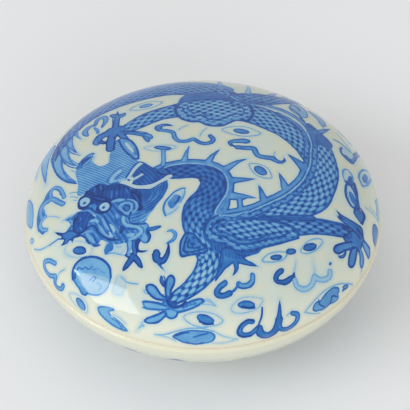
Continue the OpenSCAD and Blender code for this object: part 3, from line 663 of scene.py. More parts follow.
# Clouds round the dragon, and dark fills beside it.
cloudStrokes = [
    # beside ridge, elbow and chin
    ("patch", 0.7, (1.4, -14.4), (2.3, -12.7), (3.7, -12.7), (5.6, -13.1), (8.7, -11.9), (9.5, -12.8),
     (6.8, -14.2), (4.1, -14.6)),
    ("patch", 0.72, (11.4, -13.2), (14.1, -12.7), (21.2, -11.2), (21.2, -12.5), (14.5, -13.7)),
    ("patch", 0.76, (3.7, -21.7), (5.4, -21.2), (6.6, -22.3), (5.8, -23.7), (4.5, -24.8), (3.3, -26.3),
     (2.4, -27.2), (2.9, -24.8)),
    ("patch", 0.56, (-12.5, -14.7), (-11.3, -14.6), (-10.3, -15.6), (-10.7, -16.9), (-10.1, -18.4),
     (-10.9, -19.4), (-12, -18.6), (-12.6, -16.8)),
    # between neck and thigh
    ("hook", 0.72, 0.75, (-8.8, 9.7), (-9.1, 10.6), (-7.6, 11.2), (-5.9, 10.7)),
    ("brush", 0.62, 0.5, (-8.5, 9.6), (-7, 9.2), (-6, 8.6), (-5.7, 7.2), (-4.9, 6.1), (-3.4, 5.9),
     (-1.9, 6.6)),
    ("brush", 0.68, 0.5, (-1.9, 6.6), (-0.8, 5.6), (0.4, 5.2), (1.6, 5.6), (2, 6.5), (1.4, 7.5)),
    ("line", 0.4, 0.12, (-5, 9.4), (-4.2, 10.2), (-3.1, 10.9)),
    ("line", 0.4, 0.12, (-0.7, 7.3), (-0.2, 8.8), (0.7, 10)),
    ("hook", 0.74, 0.8, (8.8, 6.3), (7.2, 6.3), (5.4, 5.8), (5.7, 4.9), (7.2, 4.4)),
    ("brush", 0.7, 0.62, (6.8, 4.4), (8.6, 4.3), (10, 4.3), (10.4, 3.2), (11, 2.3), (12.4, 2), (13.8, 2)),
    ("hook", 0.7, 0.66, (13.6, 1.9), (14.4, 1.4), (15.4, 1.1), (16.1, 1.8), (15.9, 2.8)),
    ("line", 0.4, 0.12, (14.1, 2.4), (14, 3.1), (14.3, 3.9)),
    # hook cloud under the chin
    ("hook", 0.9, 0.85, (-8.8, -21.4), (-8.7, -22.7), (-7.6, -23.2), (-6.8, -22.2), (-6.5, -20.8),
     (-6.5, -19.6)),
    ("leaf", 0.5, 0.4, (-7, -19.8), (-5.6, -19), (-5.2, -17.9), (-6, -17), (-7, -17.3)),
    ("flick", 0.6, 0.3, (-8.4, -23.6), (-7.6, -24.6), (-6.9, -25.4)),
    # by the neck
    ("patch", 0.26, (-7.1, -13.2), (-7.5, -11.8), (-7.2, -10.4), (-6.4, -9.2), (-5.4, -8), (-4.4, -7.4),
     (-3.8, -7.8), (-3.9, -9.2), (-4.4, -10.6), (-5, -11.8), (-5.8, -12.8)),
    ("linePatch", 0.54, (-6.8, -10.6), (-6.4, -11.8), (-5.8, -11.9), (-5, -11), (-4.3, -10), (-4.2, -9.1),
     (-4.7, -8.7), (-5.4, -8.6), (-6.2, -9.6)),
    ("dot", 0.78, 0.2, (-4.6, -9.2), (-4.8, -10), (-5.4, -10.8)),
    ("line", 0.62, 0.2, (-7.2, -13.6), (-7.6, -12), (-7.3, -10.4), (-6.6, -9.3), (-5.6, -8), (-4.4, -7.2),
     (-3.6, -7)),
    ("line", 0.5, 0.15, (-3.6, -7), (-3.5, -8), (-3.8, -9.4), (-4.3, -10.6)),
    ("line", 0.38, 0.14, (-7.2, -13.6), (-6.4, -13.3), (-5.4, -12.6), (-4.6, -11.6)),
    # left of the head
    ("brush", 0.6, 0.36, (-31.2, -10.9), (-32.2, -9.2), (-32.4, -6.8), (-32, -4.7), (-31, -3.7),
     (-30.5, -4.6)),
    ("brush", 0.6, 0.36, (-31.2, -3.6), (-30.5, -2.2), (-29.5, -1.7), (-28.4, -2.6), (-27.8, -4)),
    ("leaf", 0.5, 0.3, (-30.6, -4.6), (-29.2, -4.6), (-28.2, -5.2)),
    ("leaf", 0.5, 0.22, (-31.4, -5.6), (-31.2, -7.2), (-30.6, -8.2)),
    # above the hair
    ("patch", 0.5, (-24.8, 1.4), (-24.3, 3), (-23.3, 4.3), (-22.1, 5), (-21.8, 4.2), (-22.2, 3), (-23.1, 2),
     (-24.1, 1.3)),
    ("line", 0.78, 0.16, (-25, 1.3), (-24.6, 2.9), (-23.5, 4.4), (-22.2, 5.1), (-21.7, 4.8)),
    ("lineLeaf", 0.8, 0.5, (-24.3, 2), (-23.5, 3.3), (-22.2, 4.2)),
    ("line", 0.42, 0.11, (-26.2, 1.6), (-25.3, 0.8), (-24.2, 0.7), (-22.9, 1.6), (-21.9, 2.9), (-21.5, 4)),
    # left of the tail
    ("leaf", 0.6, 0.65, (-23.2, 11), (-24, 13), (-23, 14.5), (-21.8, 14.4)),
    ("leaf", 0.6, 0.6, (-21.9, 14), (-21.6, 16.4), (-20.3, 17), (-19.8, 15.4), (-20.6, 12.8)),
    ("leaf", 0.5, 0.4, (-22.3, 14), (-21.4, 12.4), (-21.2, 10.9)),
    # right of the elbow
    ("ring", 0.26, 0.14, (-26.7, -17.2), (-26.4, -16.1), (-25.2, -15.7), (-23.4, -16.5), (-21.5, -17.8),
     (-21.3, -19.1), (-22, -19.6), (-24, -19.3), (-25.7, -18.4)),
    ("leaf", 0.75, 0.55, (12.9, -21.9), (14.1, -21.6), (15.3, -21.2)),
    ("ring", 0.42, 0.14, (11.4, -22.7), (12.6, -21.2), (14.6, -20.4), (16.2, -20.4), (15.4, -21.8),
     (13.4, -22.6)),
    ("leaf", 0.75, 0.6, (16, -20.3), (17, -19.9), (18, -19.5)),
    ("leaf", 0.85, 0.75, (19.4, -18.9), (20.7, -18.1), (22, -17.3)),
    ("ring", 0.42, 0.14, (18.8, -19.4), (20.4, -17), (22.4, -15.9), (23.2, -16.3), (22, -18.2),
     (20.2, -19.5)),
    # right of the outer loop
    ("ring", 0.54, 0.15, (28.8, 3.8), (29.8, 2.6), (29.8, 0.6), (29, -0.2), (28, 0.6), (27.9, 2.8)),
    ("lineLeaf", 0.7, 0.5, (29.4, 2.2), (29.3, 1), (28.9, 0)),
    ("patch", 0.24, (28.7, 3.6), (29.6, 2.6), (29.7, 0.8), (29, 0), (28.2, 0.8), (28, 2.8)),
    ("lineLeaf", 0.78, 0.42, (28, 0.3), (28.9, -0.2), (29.9, -0.1)),
    ("ringed", (0.34, 0.78), 0.26, (28.6, -0.4), (29.7, -1), (30.6, -3.4), (30.6, -5.6), (29.2, -5.8),
     (28.2, -3.4)),
    ("lineLeaf", 0.66, 0.6, (29.1, -2.2), (29.6, -3.6), (30.2, -5.4)),
    ("patch", 0.86, (29.6, -6.9), (30.4, -5.3), (31.1, -5.7), (31.9, -6.3), (31.9, -7.4), (31.3, -8.8),
     (30.7, -8.5), (30, -7.8)),
    ("line", 0.84, 0.3, (30.1, 0.6), (30.5, -1.7), (30.5, -4.1), (30.1, -6.2)),
    ("line", 0.95, 0.2, (30.9, -5.1), (31.5, -5.6), (32, -6.5), (31.4, -8.6)),
    ("patch", 0.26, (31.9, 1), (31.3, 3.4), (31.9, 6), (33.4, 8), (33.9, 5.6), (33, 2.6)),
    ("line", 0.56, 0.2, (33.8, 8.6), (32.6, 7.2), (31.7, 5.4), (31.2, 3.2), (31.9, 1.1)),
    ("line", 0.5, 0.17, (31.9, 1.1), (33, 2.6), (33.8, 5.2), (34, 7), (33.8, 8.6)),
    ("linePatch", 0.6, (32.1, 2.6), (31.9, 3.8), (32.5, 5.6), (33.2, 6), (33.2, 4.6), (32.8, 3)),
    ("patch", 0.3, (27.9, 10.4), (27.7, 9), (28.3, 7.6), (29.6, 6.6), (30.2, 7.6), (30.6, 9.6),
     (30.2, 10.6), (29.2, 11)),
    ("lineLeaf", 0.72, 0.6, (28.5, 8.4), (29.3, 7.3), (30, 8)),
    ("line", 0.72, 0.26, (28, 10.6), (27.7, 9.4), (28, 8.2), (28.8, 7.2), (29.6, 6.6)),
    ("brush", 0.74, 0.5, (29.8, 6.8), (30.4, 8.4), (30.9, 10.4), (31.6, 12.4), (31.8, 15)),
    ("line", 0.5, 0.26, (26.6, 12.4), (27.4, 12.3), (28.6, 11.6), (29.6, 10.6)),
    ("line", 0.4, 0.16, (27.2, 15.8), (28.6, 13.8), (29.6, 11.8), (30.2, 10.4)),
]

# Eye-shaped clouds: centre, half axes, angle, size and tone of the dab.
eyeClouds = [
    ((7.6, 9.3), (3.9, 1.5), -4, 0.42, 0.7),
    ((11.3, -1.8), (2.7, 1.5), -38, 0.55, 0.75),
    ((-11.7, 18.7), (3.4, 1.4), 14, 0.42, 0.6),
]

# Zone next to the edge, drawn on an unrolled strip: x is millimetres round the edge from the
# front (to the right), y millimetres up the curve from the edge.
rimStrokes = [
    # palm of the right foot
    ("patch", 0.82, (36.4, 9.4), (38.8, 8.7), (39.9, 7), (39.5, 5.7), (38.4, 4.7), (37.1, 4.9), (36.7, 6.4),
     (36, 7.5)),
    # pearl with a small cloud in front of it
    ("patch", 0.52, (-28.9, 8), (-28.4, 9.6), (-27, 11), (-25.2, 11.7), (-23.2, 11.8), (-21.5, 11.2),
     (-20.3, 10), (-19.9, 8.5), (-20, 7), (-21, 5.6), (-22.8, 4.8), (-25, 4.5), (-27.2, 5.2), (-28.5, 6.5)),
    # paler middle of the pearl: partly paler paint, partly a painted highlight where the soft box's
    # reflection falls
    ("whitePatch", 0.3, (-27, 6.4), (-25.7, 7.9), (-23.8, 8.7), (-21.2, 9.3), (-19.9, 8.7), (-20, 6.8),
     (-21.8, 5.4), (-23.6, 5.2), (-25.6, 5.7)),
    ("line", 0.62, 0.13, (-27.7, 7.9), (-26.9, 8), (-26.6, 8.7), (-25.6, 8.8), (-25.4, 9.6)),
    ("line", 0.5, 0.13, (-24.8, 9.2), (-23.9, 9.9), (-23.1, 9.9), (-21.9, 9.9)),
    ("line", 0.5, 0.13, (-24.1, 7.2), (-23.8, 8.1), (-23.2, 8.2), (-23.4, 7.3)),
    ("line", 0.44, 0.14, (-22.3, 7.6), (-21.3, 7.4), (-21.3, 6.5)),
    ("line", 0.85, 0.22, (-27.6, 5.2), (-28.6, 6.5), (-28.9, 8), (-28.4, 9.6), (-27, 11), (-25.2, 11.7),
     (-23.2, 11.8), (-21.5, 11.2), (-20.3, 9.8)),
    ("line", 0.5, 0.13, (-20.3, 9.8), (-19.9, 8.4), (-20.1, 6.9), (-21, 5.6), (-22.8, 4.8), (-25, 4.5),
     (-27.6, 5.2)),
    ("line", 0.8, 0.15, (-27.9, 7.6), (-27.7, 6.5), (-27.2, 5.8)),
    ("patch", 0.62, (-26.3, 5.2), (-25.6, 6), (-24.3, 6.1), (-23.4, 5.4), (-23.3, 4.3), (-24.4, 3.9),
     (-25.4, 4.5)),
    ("patch", 0.22, (-18.9, 10.9), (-17, 10.8), (-16.2, 9), (-16.6, 7.5), (-18.3, 7.3), (-19, 9)),
    ("line", 0.4, 0.14, (-18.2, 10.7), (-16.4, 10.3), (-14.2, 10.7)),
    # jaw: nose curls, whisker and a dab below
    ("patch", 0.84, (-33.8, 12.4), (-35.9, 11.6), (-36.6, 10.2), (-37.5, 9.3), (-38.8, 8.3), (-37.5, 8.7),
     (-36.2, 9.2), (-36.5, 8.2), (-35.3, 9.3), (-34.9, 8.7), (-34.7, 8.1), (-34, 9.2), (-34, 10.3),
     (-33, 10.3), (-33.6, 11.1), (-32.9, 12.2)),
    ("white", 0.6, 0.12, (-36, 9.9), (-35.2, 10.5), (-34.6, 11.2)),
    ("line", 0.62, 0.17, (-36.5, 8.5), (-36.7, 7.5), (-37.1, 6.1)),
    ("line", 0.44, 0.15, (-37, 6.6), (-37.7, 4.8), (-38.8, 3.2), (-40.4, 1.8)),
    ("leaf", 0.84, 0.9, (-31.7, 9.4), (-30.2, 10.4), (-28.8, 11)),
    # front foot
    ("outlined", (0.6, 0.9), 0.16, (-7.1, 9.6), (-8.6, 10), (-10.2, 11.2), (-11.4, 11.4), (-12.2, 10.8),
     (-11.4, 9.8), (-9.9, 9), (-8.1, 8.9)),
    ("outlined", (0.62, 0.9), 0.16, (-7.4, 9.7), (-8, 11.1), (-8.2, 12.7), (-7.9, 13.7), (-7.2, 14),
     (-6.4, 13.4), (-6.3, 12.3), (-6.7, 11.1), (-6.6, 9.9)),
    ("leaf", 0.7, 0.45, (-9.6, 13.6), (-9.2, 12.5), (-8.2, 11.7)),
    ("line", 0.9, 0.13, (-9.7, 13.4), (-9.6, 12.5), (-8.6, 11.6)),
    ("line", 0.86, 0.13, (-9, 13.5), (-8.6, 13), (-8.4, 12)),
    ("patch", 0.5, (-6.6, 8.2), (-9.1, 8.5), (-11.5, 8.2), (-12, 7.8), (-11.8, 7.3), (-11.1, 6.8),
     (-9.2, 6.9), (-7.3, 7.1)),
    ("line", 0.72, 0.17, (-11.9, 7.8), (-10.5, 8.1), (-9, 8.2), (-7.2, 8)),
    ("line", 0.62, 0.15, (-11.6, 6.8), (-10.5, 6.7), (-8.7, 7), (-7.5, 7.3)),
    ("patch", 0.52, (-7.2, 7), (-8.9, 5.9), (-10.3, 5), (-10.7, 4.2), (-9.8, 4), (-8.3, 4.6), (-7.3, 5.6),
     (-6.8, 6.5)),
    ("line", 0.78, 0.16, (-7.4, 6.9), (-8.9, 5.9), (-10.3, 5), (-10.7, 4.3), (-9.9, 4.1), (-8.3, 4.6),
     (-7.3, 5.7), (-6.8, 6.5)),
    ("patch", 0.54, (-7.2, 7.4), (-7, 6.4), (-6.6, 5.9), (-5.6, 5.8), (-4.8, 6.4), (-4.7, 7.2), (-5.6, 7.6),
     (-6.5, 7.6)),
    ("line", 0.74, 0.16, (-7.1, 6.8), (-6.7, 6.1), (-5.8, 5.8), (-5, 6.2), (-4.7, 7)),
    ("patch", 0.52, (-6, 8), (-3.7, 8.8), (-1.7, 9.6), (-0.3, 10), (0.3, 9.6), (-0.2, 9.1), (-1.8, 8.1),
     (-3.4, 7.5), (-4.6, 7.2), (-5.5, 7.4)),
    ("line", 0.8, 0.17, (-5.6, 7.9), (-3.7, 8.8), (-1.7, 9.7), (-0.3, 10), (0.3, 9.7)),
    ("line", 0.72, 0.15, (-4.6, 7.1), (-3.1, 7.6), (-1.7, 8.2), (-0.4, 8.9), (0.3, 9.5)),
    ("line", 0.66, 0.13, (-3.9, 8.1), (-2.5, 8.7), (-1.2, 9.1)),
    ("leaf", 0.28, 0.35, (-0.4, 9), (1, 9.7), (2.7, 8.7)),
    ("line", 0.34, 0.14, (-0.2, 8.9), (1.2, 8.9), (2.7, 8.6)),
    ("leaf", 0.3, 0.4, (-12.6, 10), (-11.8, 9.8), (-11.2, 9.5)),
    ("flick", 0.3, 0.3, (-10.8, 3.4), (-11.4, 2.8), (-11.7, 1.9)),
    ("leaf", 0.7, 0.8, (-8, 8.6), (-6.6, 8.3), (-5, 7.9)),
    ("line", 0.95, 0.24, (-7.2, 9.1), (-6.4, 8.2), (-5.2, 8), (-4, 8.6), (-3.3, 9.2)),
    # right foot
    ("patch", 0.84, (38.7, 9), (40.2, 7.9), (41, 6.4), (40.6, 5.3), (39.6, 4.8), (38, 5.9), (37.3, 7),
     (37.9, 7.9)),
    ("outlined", (0.74, 0.94), 0.16, (37.3, 7.3), (35.8, 8.5), (33.6, 9.6), (32.4, 9.5), (32.1, 8.8),
     (32.7, 8.1), (34.3, 7.5), (36.2, 6.5), (37.3, 5.8)),
    ("leaf", 0.66, 0.36, (32.4, 7.9), (32.6, 7.3), (33.5, 7.1), (34.5, 7.2)),
    ("line", 0.86, 0.12, (32.2, 8.1), (32.2, 7.4), (33.1, 6.9), (34, 7.1)),
    ("outlined", (0.74, 0.94), 0.16, (36.7, 6.6), (34.7, 6.3), (33.2, 5.4), (32.9, 4.7), (33.5, 4),
     (34.6, 4.1), (36.2, 5), (37.3, 5.6)),
    ("patch", 0.6, (37.6, 5.4), (36.5, 3.8), (35.6, 2.8), (35.9, 1.7), (37, 2.3), (37.8, 3.9), (38.2, 5)),
    ("line", 0.74, 0.15, (37.5, 5.3), (36.5, 3.9), (35.6, 2.8), (35.9, 1.7), (37, 2.3), (37.8, 3.9)),
    ("patch", 0.64, (39.2, 5.2), (38.6, 3.5), (38.9, 1.2), (39.7, 1.4), (40.3, 2.8), (40.2, 4.6)),
    ("line", 0.78, 0.15, (39.1, 5), (38.6, 3.5), (38.8, 1.4), (39.7, 1.4), (40.3, 2.8), (40.2, 4.5)),
    ("flick", 0.3, 0.28, (36.2, 2.1), (35.4, 1.2), (35, 0)),
    # dab at the right edge
    ("patch", 0.78, (44.8, 3.9), (46, 3.5), (46.5, 1.9), (46.2, 0), (44.1, 0), (42.9, 0.2), (42.4, 1.8),
     (43.3, 3.2)),
    ("patch", 0.42, (52, 3.6), (54.1, 1.8), (53.7, 0.8), (52, 0.5), (49.6, 1), (47.9, 1.9), (48.6, 3),
     (50.5, 3.2)),
    ("line", 0.4, 0.13, (47.6, 6.9), (47.8, 5), (47.8, 3), (47.9, 1.3)),
    ("line", 0.36, 0.12, (48.6, 5.6), (48.6, 3.7), (48.7, 1.5)),
    # tuft over the wrist
    ("flick", 0.86, 1.2, (41, 7.1), (40.9, 9.6), (41, 11.7), (41.8, 13.5)),
    ("flick", 0.8, 1, (40.7, 8.1), (40.3, 10.2), (40.1, 11.8), (40.5, 13.1)),
    ("flick", 0.88, 0.6, (40.9, 6.2), (41, 8.3), (41.2, 10.1), (41.7, 10.9)),
    ("line", 0.9, 0.2, (41, 7.6), (40.5, 5.8), (40.1, 4.6), (40.4, 2.5)),
    ("line", 0.88, 0.22, (39, 11), (39.6, 9.3), (39.8, 7.3), (39.6, 6.1)),
    # low cloud left of the pearl
    ("brush", 0.52, 0.5, (-33.2, 4.8), (-34.8, 4.1), (-35.7, 3), (-35.4, 2.1), (-34, 1.7), (-32.8, 2),
     (-31.6, 3)),
    ("brush", 0.55, 0.48, (-31.4, 2.8), (-31.2, 1.6), (-30.2, 1.2), (-29.2, 1.8), (-29, 2.7)),
    ("line", 0.36, 0.13, (-30.4, 5.6), (-31.1, 4.2), (-31, 3)),
    # dabs and clouds in front
    ("leaf", 0.62, 0.9, (-25.2, 2.5), (-24, 2), (-22.8, 1.1)),
    ("ring", 0.28, 0.12, (-27, 2.2), (-25.8, 3.1), (-23.6, 3.3), (-22.3, 2.2), (-22.5, 0.7), (-24.6, 0.8),
     (-26.2, 1.4)),
    ("patch", 0.5, (-20.3, 3.4), (-19, 4.3), (-17.3, 4.7), (-16.9, 4.3), (-17.7, 3.7), (-17.3, 3.2),
     (-16, 2.9), (-14.6, 2.2), (-13.5, 1.1), (-14.8, 0.9), (-16.5, 1.2), (-18.4, 1.7), (-19.8, 2.5)),
    ("white", 0.1, 0.13, (-17.2, 3), (-16.2, 2.5), (-15, 1.9)),
    ("line", 0.6, 0.17, (-19.6, 2.4), (-18, 1.6), (-16, 1), (-14.2, 0.9)),
    ("line", 0.62, 0.14, (-17, 2.6), (-15.8, 2.3), (-14.8, 1.6)),
    ("line", 0.26, 0.16, (-17, 3.5), (-15.4, 3.2), (-14.2, 2.6)),
    ("flick", 0.25, 0.25, (-10.8, 4.4), (-11.4, 3), (-12, 1.6)),
    ("patch", 0.58, (-5.3, 2.3), (-4.4, 3.2), (-2.6, 3.9), (-0.6, 4), (1.4, 3.7), (2.4, 2.8), (1.8, 1.5),
     (-0.4, 0.9), (-2.8, 1), (-4.4, 1.6)),
    ("line", 0.4, 0.14, (-8.4, 2.1), (-6.6, 2.5), (-5, 3.3), (-2.6, 4.2), (0, 4.3), (2.2, 3.7)),
    ("line", 0.3, 0.13, (2.4, 3.5), (4, 2.5), (6.4, 1.6)),
    ("line", 0.3, 0.13, (-8.2, 2), (-6, 1.9), (-4.6, 1.4)),
    ("line", 0.28, 0.13, (1.8, 1.2), (4, 1.1), (6.2, 1.5)),
    ("line", 0.8, 0.15, (-4.7, 2.5), (-3.4, 3.2), (-2.4, 3.4)),
    ("line", 0.75, 0.15, (-2.7, 1.3), (-1.2, 0.9), (0.2, 1.3)),
    ("line", 0.7, 0.14, (-1.5, 2.5), (-0.2, 3), (1, 3.3)),
    ("leaf", 0.72, 0.85, (-1, 6.7), (0.6, 6.1), (2.3, 5.6)),
    ("line", 0.95, 0.16, (-0.4, 5.6), (0.9, 5.1), (2, 5.2)),
    ("ring", 0.38, 0.12, (-3.5, 6.4), (-2, 7.3), (0.4, 7.5), (2.6, 6.9), (3.9, 5.7), (2.8, 4.9), (0, 4.6),
     (-2.2, 5.2)),
    # eye and cloud right of the middle
    ("leaf", 0.7, 0.8, (7.1, 8.3), (8.6, 8.1), (10.6, 7.6)),
    ("line", 0.95, 0.17, (8, 7.9), (9.2, 7.4), (10.3, 7.3)),
    ("ring", 0.32, 0.12, (5.7, 7.6), (6.4, 8.6), (7.8, 9.4), (9.6, 9.4), (11.6, 8.8), (12.3, 8.1),
     (10.8, 6.9), (8.6, 6.6), (6.6, 6.8)),
    ("brush", 0.72, 0.5, (9.4, 4.6), (8.4, 4.8), (7.2, 4), (6.9, 2.9), (7.7, 2.3), (8.9, 2.3), (9.8, 2.9)),
    ("line", 0.94, 0.2, (9.6, 4.9), (8.4, 5.1), (7, 4.2), (6.4, 2.9), (7.3, 1.9), (8.8, 1.8)),
    ("line", 0.9, 0.18, (11.8, 6.8), (11.3, 5.2), (10.5, 3.8), (10.2, 2.6)),
    ("brush", 0.8, 0.76, (10.4, 3), (10.7, 1.8), (11.8, 1), (13, 1.3), (13.9, 2.3), (14.5, 3.6)),
    ("flick", 0.76, 0.7, (14.3, 3), (14.9, 5), (15.7, 7.4)),
    ("brush", 0.66, 0.5, (14.4, 3), (14.4, 1.7), (15.4, 1), (16.9, 1.2), (18, 2.2), (18.1, 3.2),
     (17.3, 3.8)),
    ("line", 0.4, 0.14, (18.2, 3.4), (17.2, 4.1), (16.2, 3.8)),
    # cloud behind the elbow
    ("brush", 0.74, 0.62, (5.2, 12.8), (3.9, 12.1), (3.1, 11.2), (3.4, 10.6), (4.6, 10.4), (5.9, 10.7)),
    ("line", 0.92, 0.17, (4.4, 12), (3.6, 11.1), (4.2, 10.7)),
    ("line", 0.66, 0.26, (6, 10.8), (7.2, 11.3), (8.2, 12.4)),
    ("brush", 0.6, 0.62, (8.2, 12.2), (8.8, 11.7), (10.2, 11.6), (11.3, 12.2), (11.8, 13.2)),
    ("line", 0.8, 0.14, (7.8, 11.6), (9, 11.2), (10.6, 11.2), (11.6, 11.8)),
    # long low cloud at the right
    ("line", 0.38, 0.14, (19.7, 2.8), (21.5, 3.7), (24, 4.4), (26.6, 4.4), (29, 3.5), (31, 2), (32, 0.8)),
    ("line", 0.38, 0.14, (20, 2.6), (21.4, 1.6), (22.8, 0.8)),
    ("patch", 0.62, (22.5, 2.8), (23.8, 3.5), (25.2, 4), (26.9, 4.1), (28.3, 3.3), (28.3, 2.3), (27.2, 1.7),
     (25.6, 1.2), (23.8, 1), (22.5, 1.6)),
    ("leaf", 0.62, 0.32, (28.8, 1.8), (29.7, 1.8), (30.8, 1.6)),
    ("patch", 0.62, (21.4, 2.6), (22.3, 3.5), (23.4, 3.4), (23.9, 2.2), (22.8, 1.4), (21.8, 1.8)),
    ("line", 0.85, 0.15, (23.2, 3.6), (23.2, 2.6), (24, 1.6)),
    ("patch", 0.6, (24.2, 2.8), (25.4, 3.6), (27, 3.4), (27.8, 2.4), (27.6, 0.8), (26, 0.9), (24.6, 1.6)),
    ("line", 0.85, 0.15, (25.5, 1.3), (26.4, 2.5), (27.5, 1.5)),
    ("leaf", 0.65, 0.55, (29.3, 2.5), (30, 2), (30.8, 1.5)),
    # hooked cloud under the elbow with its pale wave
    ("hook", 0.85, 0.62, (18.8, 12.2), (17.4, 11.9), (16.4, 11), (17.2, 10.2), (18.8, 9.9), (20.4, 10.1),
     (21.2, 11), (22, 11.6)),
    ("leaf", 0.85, 0.6, (16.4, 10.8), (18.2, 9.9), (20.6, 10.3)),
    ("flick", 0.25, 0.25, (21, 10.8), (22.2, 11.8), (23.2, 12.8)),
    ("brush", 0.36, 0.6, (20.3, 9.5), (20.1, 8.3), (20.8, 7.3), (22, 6.8), (23.4, 7.1), (24.6, 8)),
    ("brush", 0.36, 0.6, (24.6, 8), (25.2, 7.1), (26.2, 6.4), (27.6, 6.2), (28.3, 6.9)),
    ("flick", 0.2, 0.2, (25.1, 8.5), (26, 10), (27, 11.2)),
    ("leaf", 0.7, 0.3, (28.9, 7.9), (29.4, 8), (29.9, 8.2)),
    # left edge
    ("brush", 0.52, 0.5, (-45.8, 12.8), (-48.4, 12.3), (-50, 11), (-49.4, 9.9), (-47.9, 9.8)),
    ("brush", 0.56, 0.62, (-44, 12.2), (-45.8, 11), (-47.1, 10.1), (-47.3, 8.4), (-46.5, 7.1), (-44.8, 6.7),
     (-43.8, 6.9)),
    ("brush", 0.46, 0.5, (-43.8, 7.7), (-43.6, 6.6), (-42.8, 5.9), (-41.5, 6.1), (-40.6, 7)),
    ("line", 0.35, 0.13, (-41, 10.6), (-42.4, 9.4), (-43.4, 8.2)),
    ("patch", 0.54, (-53, 2), (-50.4, 4.4), (-47.6, 4.8), (-45, 4.1), (-44.6, 3), (-46.4, 1.8), (-49, 0.8),
     (-52.4, 0.5)),
    ("leaf", 0.42, 0.6, (-43, 1.1), (-42.3, 2), (-41.6, 2.8)),
]

# Cover's far side, which the photograph hides: the same kind of clouds.
hiddenStrokes = [
    ("leaf", 0.6, 0.6, (-14, 30.6), (-16.4, 29.8), (-18.2, 28), (-17, 27.2)),
    ("leaf", 0.6, 0.5, (-13.6, 30.4), (-11.4, 31.4), (-9.4, 31), (-10, 30)),
    ("leaf", 0.6, 0.6, (12, 32.2), (14.2, 31), (16.2, 31.2), (17.6, 29.4)),
    ("hook", 0.7, 0.6, (10.6, 32), (11.2, 30.4), (12.6, 30), (13.2, 31)),
    ("leaf", 0.6, 0.6, (27.6, 19.6), (28.6, 17.4), (30.4, 16.2), (29.8, 14.6)),
    ("hook", 0.7, 0.55, (26.4, 21.6), (27.6, 20.8), (28.6, 19.4), (27.8, 18.6)),
    ("leaf", 0.6, 0.5, (-27.6, 20.4), (-29.2, 18.2), (-31, 16.4), (-30.4, 14.6)),
    ("hook", 0.7, 0.55, (-25.4, 23), (-27, 22.2), (-27.6, 20.8), (-26.6, 20)),
]

hiddenEyes = [
    ((-3.5, 33), (3.2, 0.8), -4, 0.45, 0.7),
    ((22.5, 26.2), (3, 1.1), -48, 0.45, 0.7),
    ((-22, 27.2), (3, 1.0), 42, 0.45, 0.7),
    ((33.4, 12), (2.6, 0.7), -68, 0.45, 0.6),
]


# The whole cover, from the far lengths of skin to the eyes; strip holds the same spots on the
# unrolled edge.
def paintLid(spots, strip):
    fields = newPainting(spots)
    shift = 0.0
    for name in ("tail", "farLeg", "outerLoop", "innerFlank", "hindLeg"):
        scaledTube(fields, *dragonSkin[name], shift)
        shift += brush["shift"]
    scaledPatch(fields, *dragonPlates["thigh"])
    for name in ("neck", "foreLeg"):
        scaledTube(fields, *dragonSkin[name], shift)
    scaledPatch(fields, *dragonPlates["shoulder"])
    for hair in dragonHair:
        combedPatch(fields, *hair)
    drawStrokes(fields, dragonStrokes + cloudStrokes + hiddenStrokes)
    for cloud in eyeClouds + hiddenEyes:
        drawStrokes(fields, eyeCloud(*cloud))
    fields["spots"] = strip
    drawStrokes(fields, rimStrokes)
    return fields


# Band of clouds round the base, in millimetres along the girth and down from the rim.
cloudBand = {
    "radius": 34.0,  # at which the band is laid out
    "count": 8,
    "shift": 17.4,  # so that two tips show in front
    "cloud": [
        ("hook", 0.72, 0.8, (-9.4, -9.6), (-10.9, -8), (-10.8, -6), (-9.4, -4.8), (-7.6, -5.4),
         (-7.2, -6.8)),
        ("leaf", 0.86, 0.6, (-10.8, -5.6), (-9, -4.2), (-7.1, -4.9)),
        ("brush", 0.6, 0.5, (-9.4, -9.4), (-7.6, -10.2), (-6, -9.6), (-5, -8.4), (-3.4, -7.4),
         (-1.6, -7.6)),
        ("brush", 0.64, 0.5, (-1.6, -7.6), (-0.6, -8.6), (1, -8.8), (2.6, -8), (3, -7)),
        ("flick", 0.5, 0.5, (2.8, -7.4), (3.5, -6), (4, -4.2)),
        ("leaf", 0.55, 0.55, (1.6, -9.6), (4, -10.6), (6.8, -10.2), (8.6, -8.6)),
        ("line", 0.4, 0.13, (-4.6, -9.8), (-2.4, -10.8), (0, -10.6)),
        ("leaf", 0.7, 0.5, (6.6, -12.6), (8.2, -13), (9.8, -12.6)),
    ],
    "eye": ((10, -8.2), (2.6, 1.0), 8, 0.45, 0.7),
}


# One group of clouds repeated round the base, every other one mirrored.
def paintBase(spots):
    fields = newPainting(spots)
    girth = 2 * math.pi * cloudBand["radius"]
    step = girth / cloudBand["count"]
    for k in range(cloudBand["count"]):
        flip = 1 if k % 2 else -1
        x0 = -girth / 2 + (k + 0.5) * step + cloudBand["shift"]
        x0 -= girth * (x0 > girth / 2)
        for kind, tone, halfWidth, *points in cloudBand["cloud"]:
            moved = [(x0 + x * flip, y) for x, y in points]
            drawStrokes(fields, [(kind, tone, halfWidth, *moved)])
        (x, y), size, angle, dab, tone = cloudBand["eye"]
        drawStrokes(fields, eyeCloud((x0 + x * flip, y), size, angle * flip, dab, tone))
    return fields


# Turned meshes, worked out in millimetres as rings of points.


# Outer curve (r / a)^f + (z / b)^2 = 1; t runs from rim (0) to pole (pi / 2).
def curvePoint(a, b, t):
    return np.stack([a * np.cos(t) ** (2 / shape["fullness"]), b * np.sin(t)], axis=-1)


# The same curve moved into the wall by its thickness, along the unit normal.
def innerPoint(a, b, wall, t):
    p = curvePoint(a, b, t)
    f = shape["fullness"]
    g = np.stack([f / a * (p[..., 0] / a) ** (f - 1), 2 * p[..., 1] / b**2], axis=-1)
    return p - wall * g / np.linalg.norm(g, axis=-1, keepdims=True)


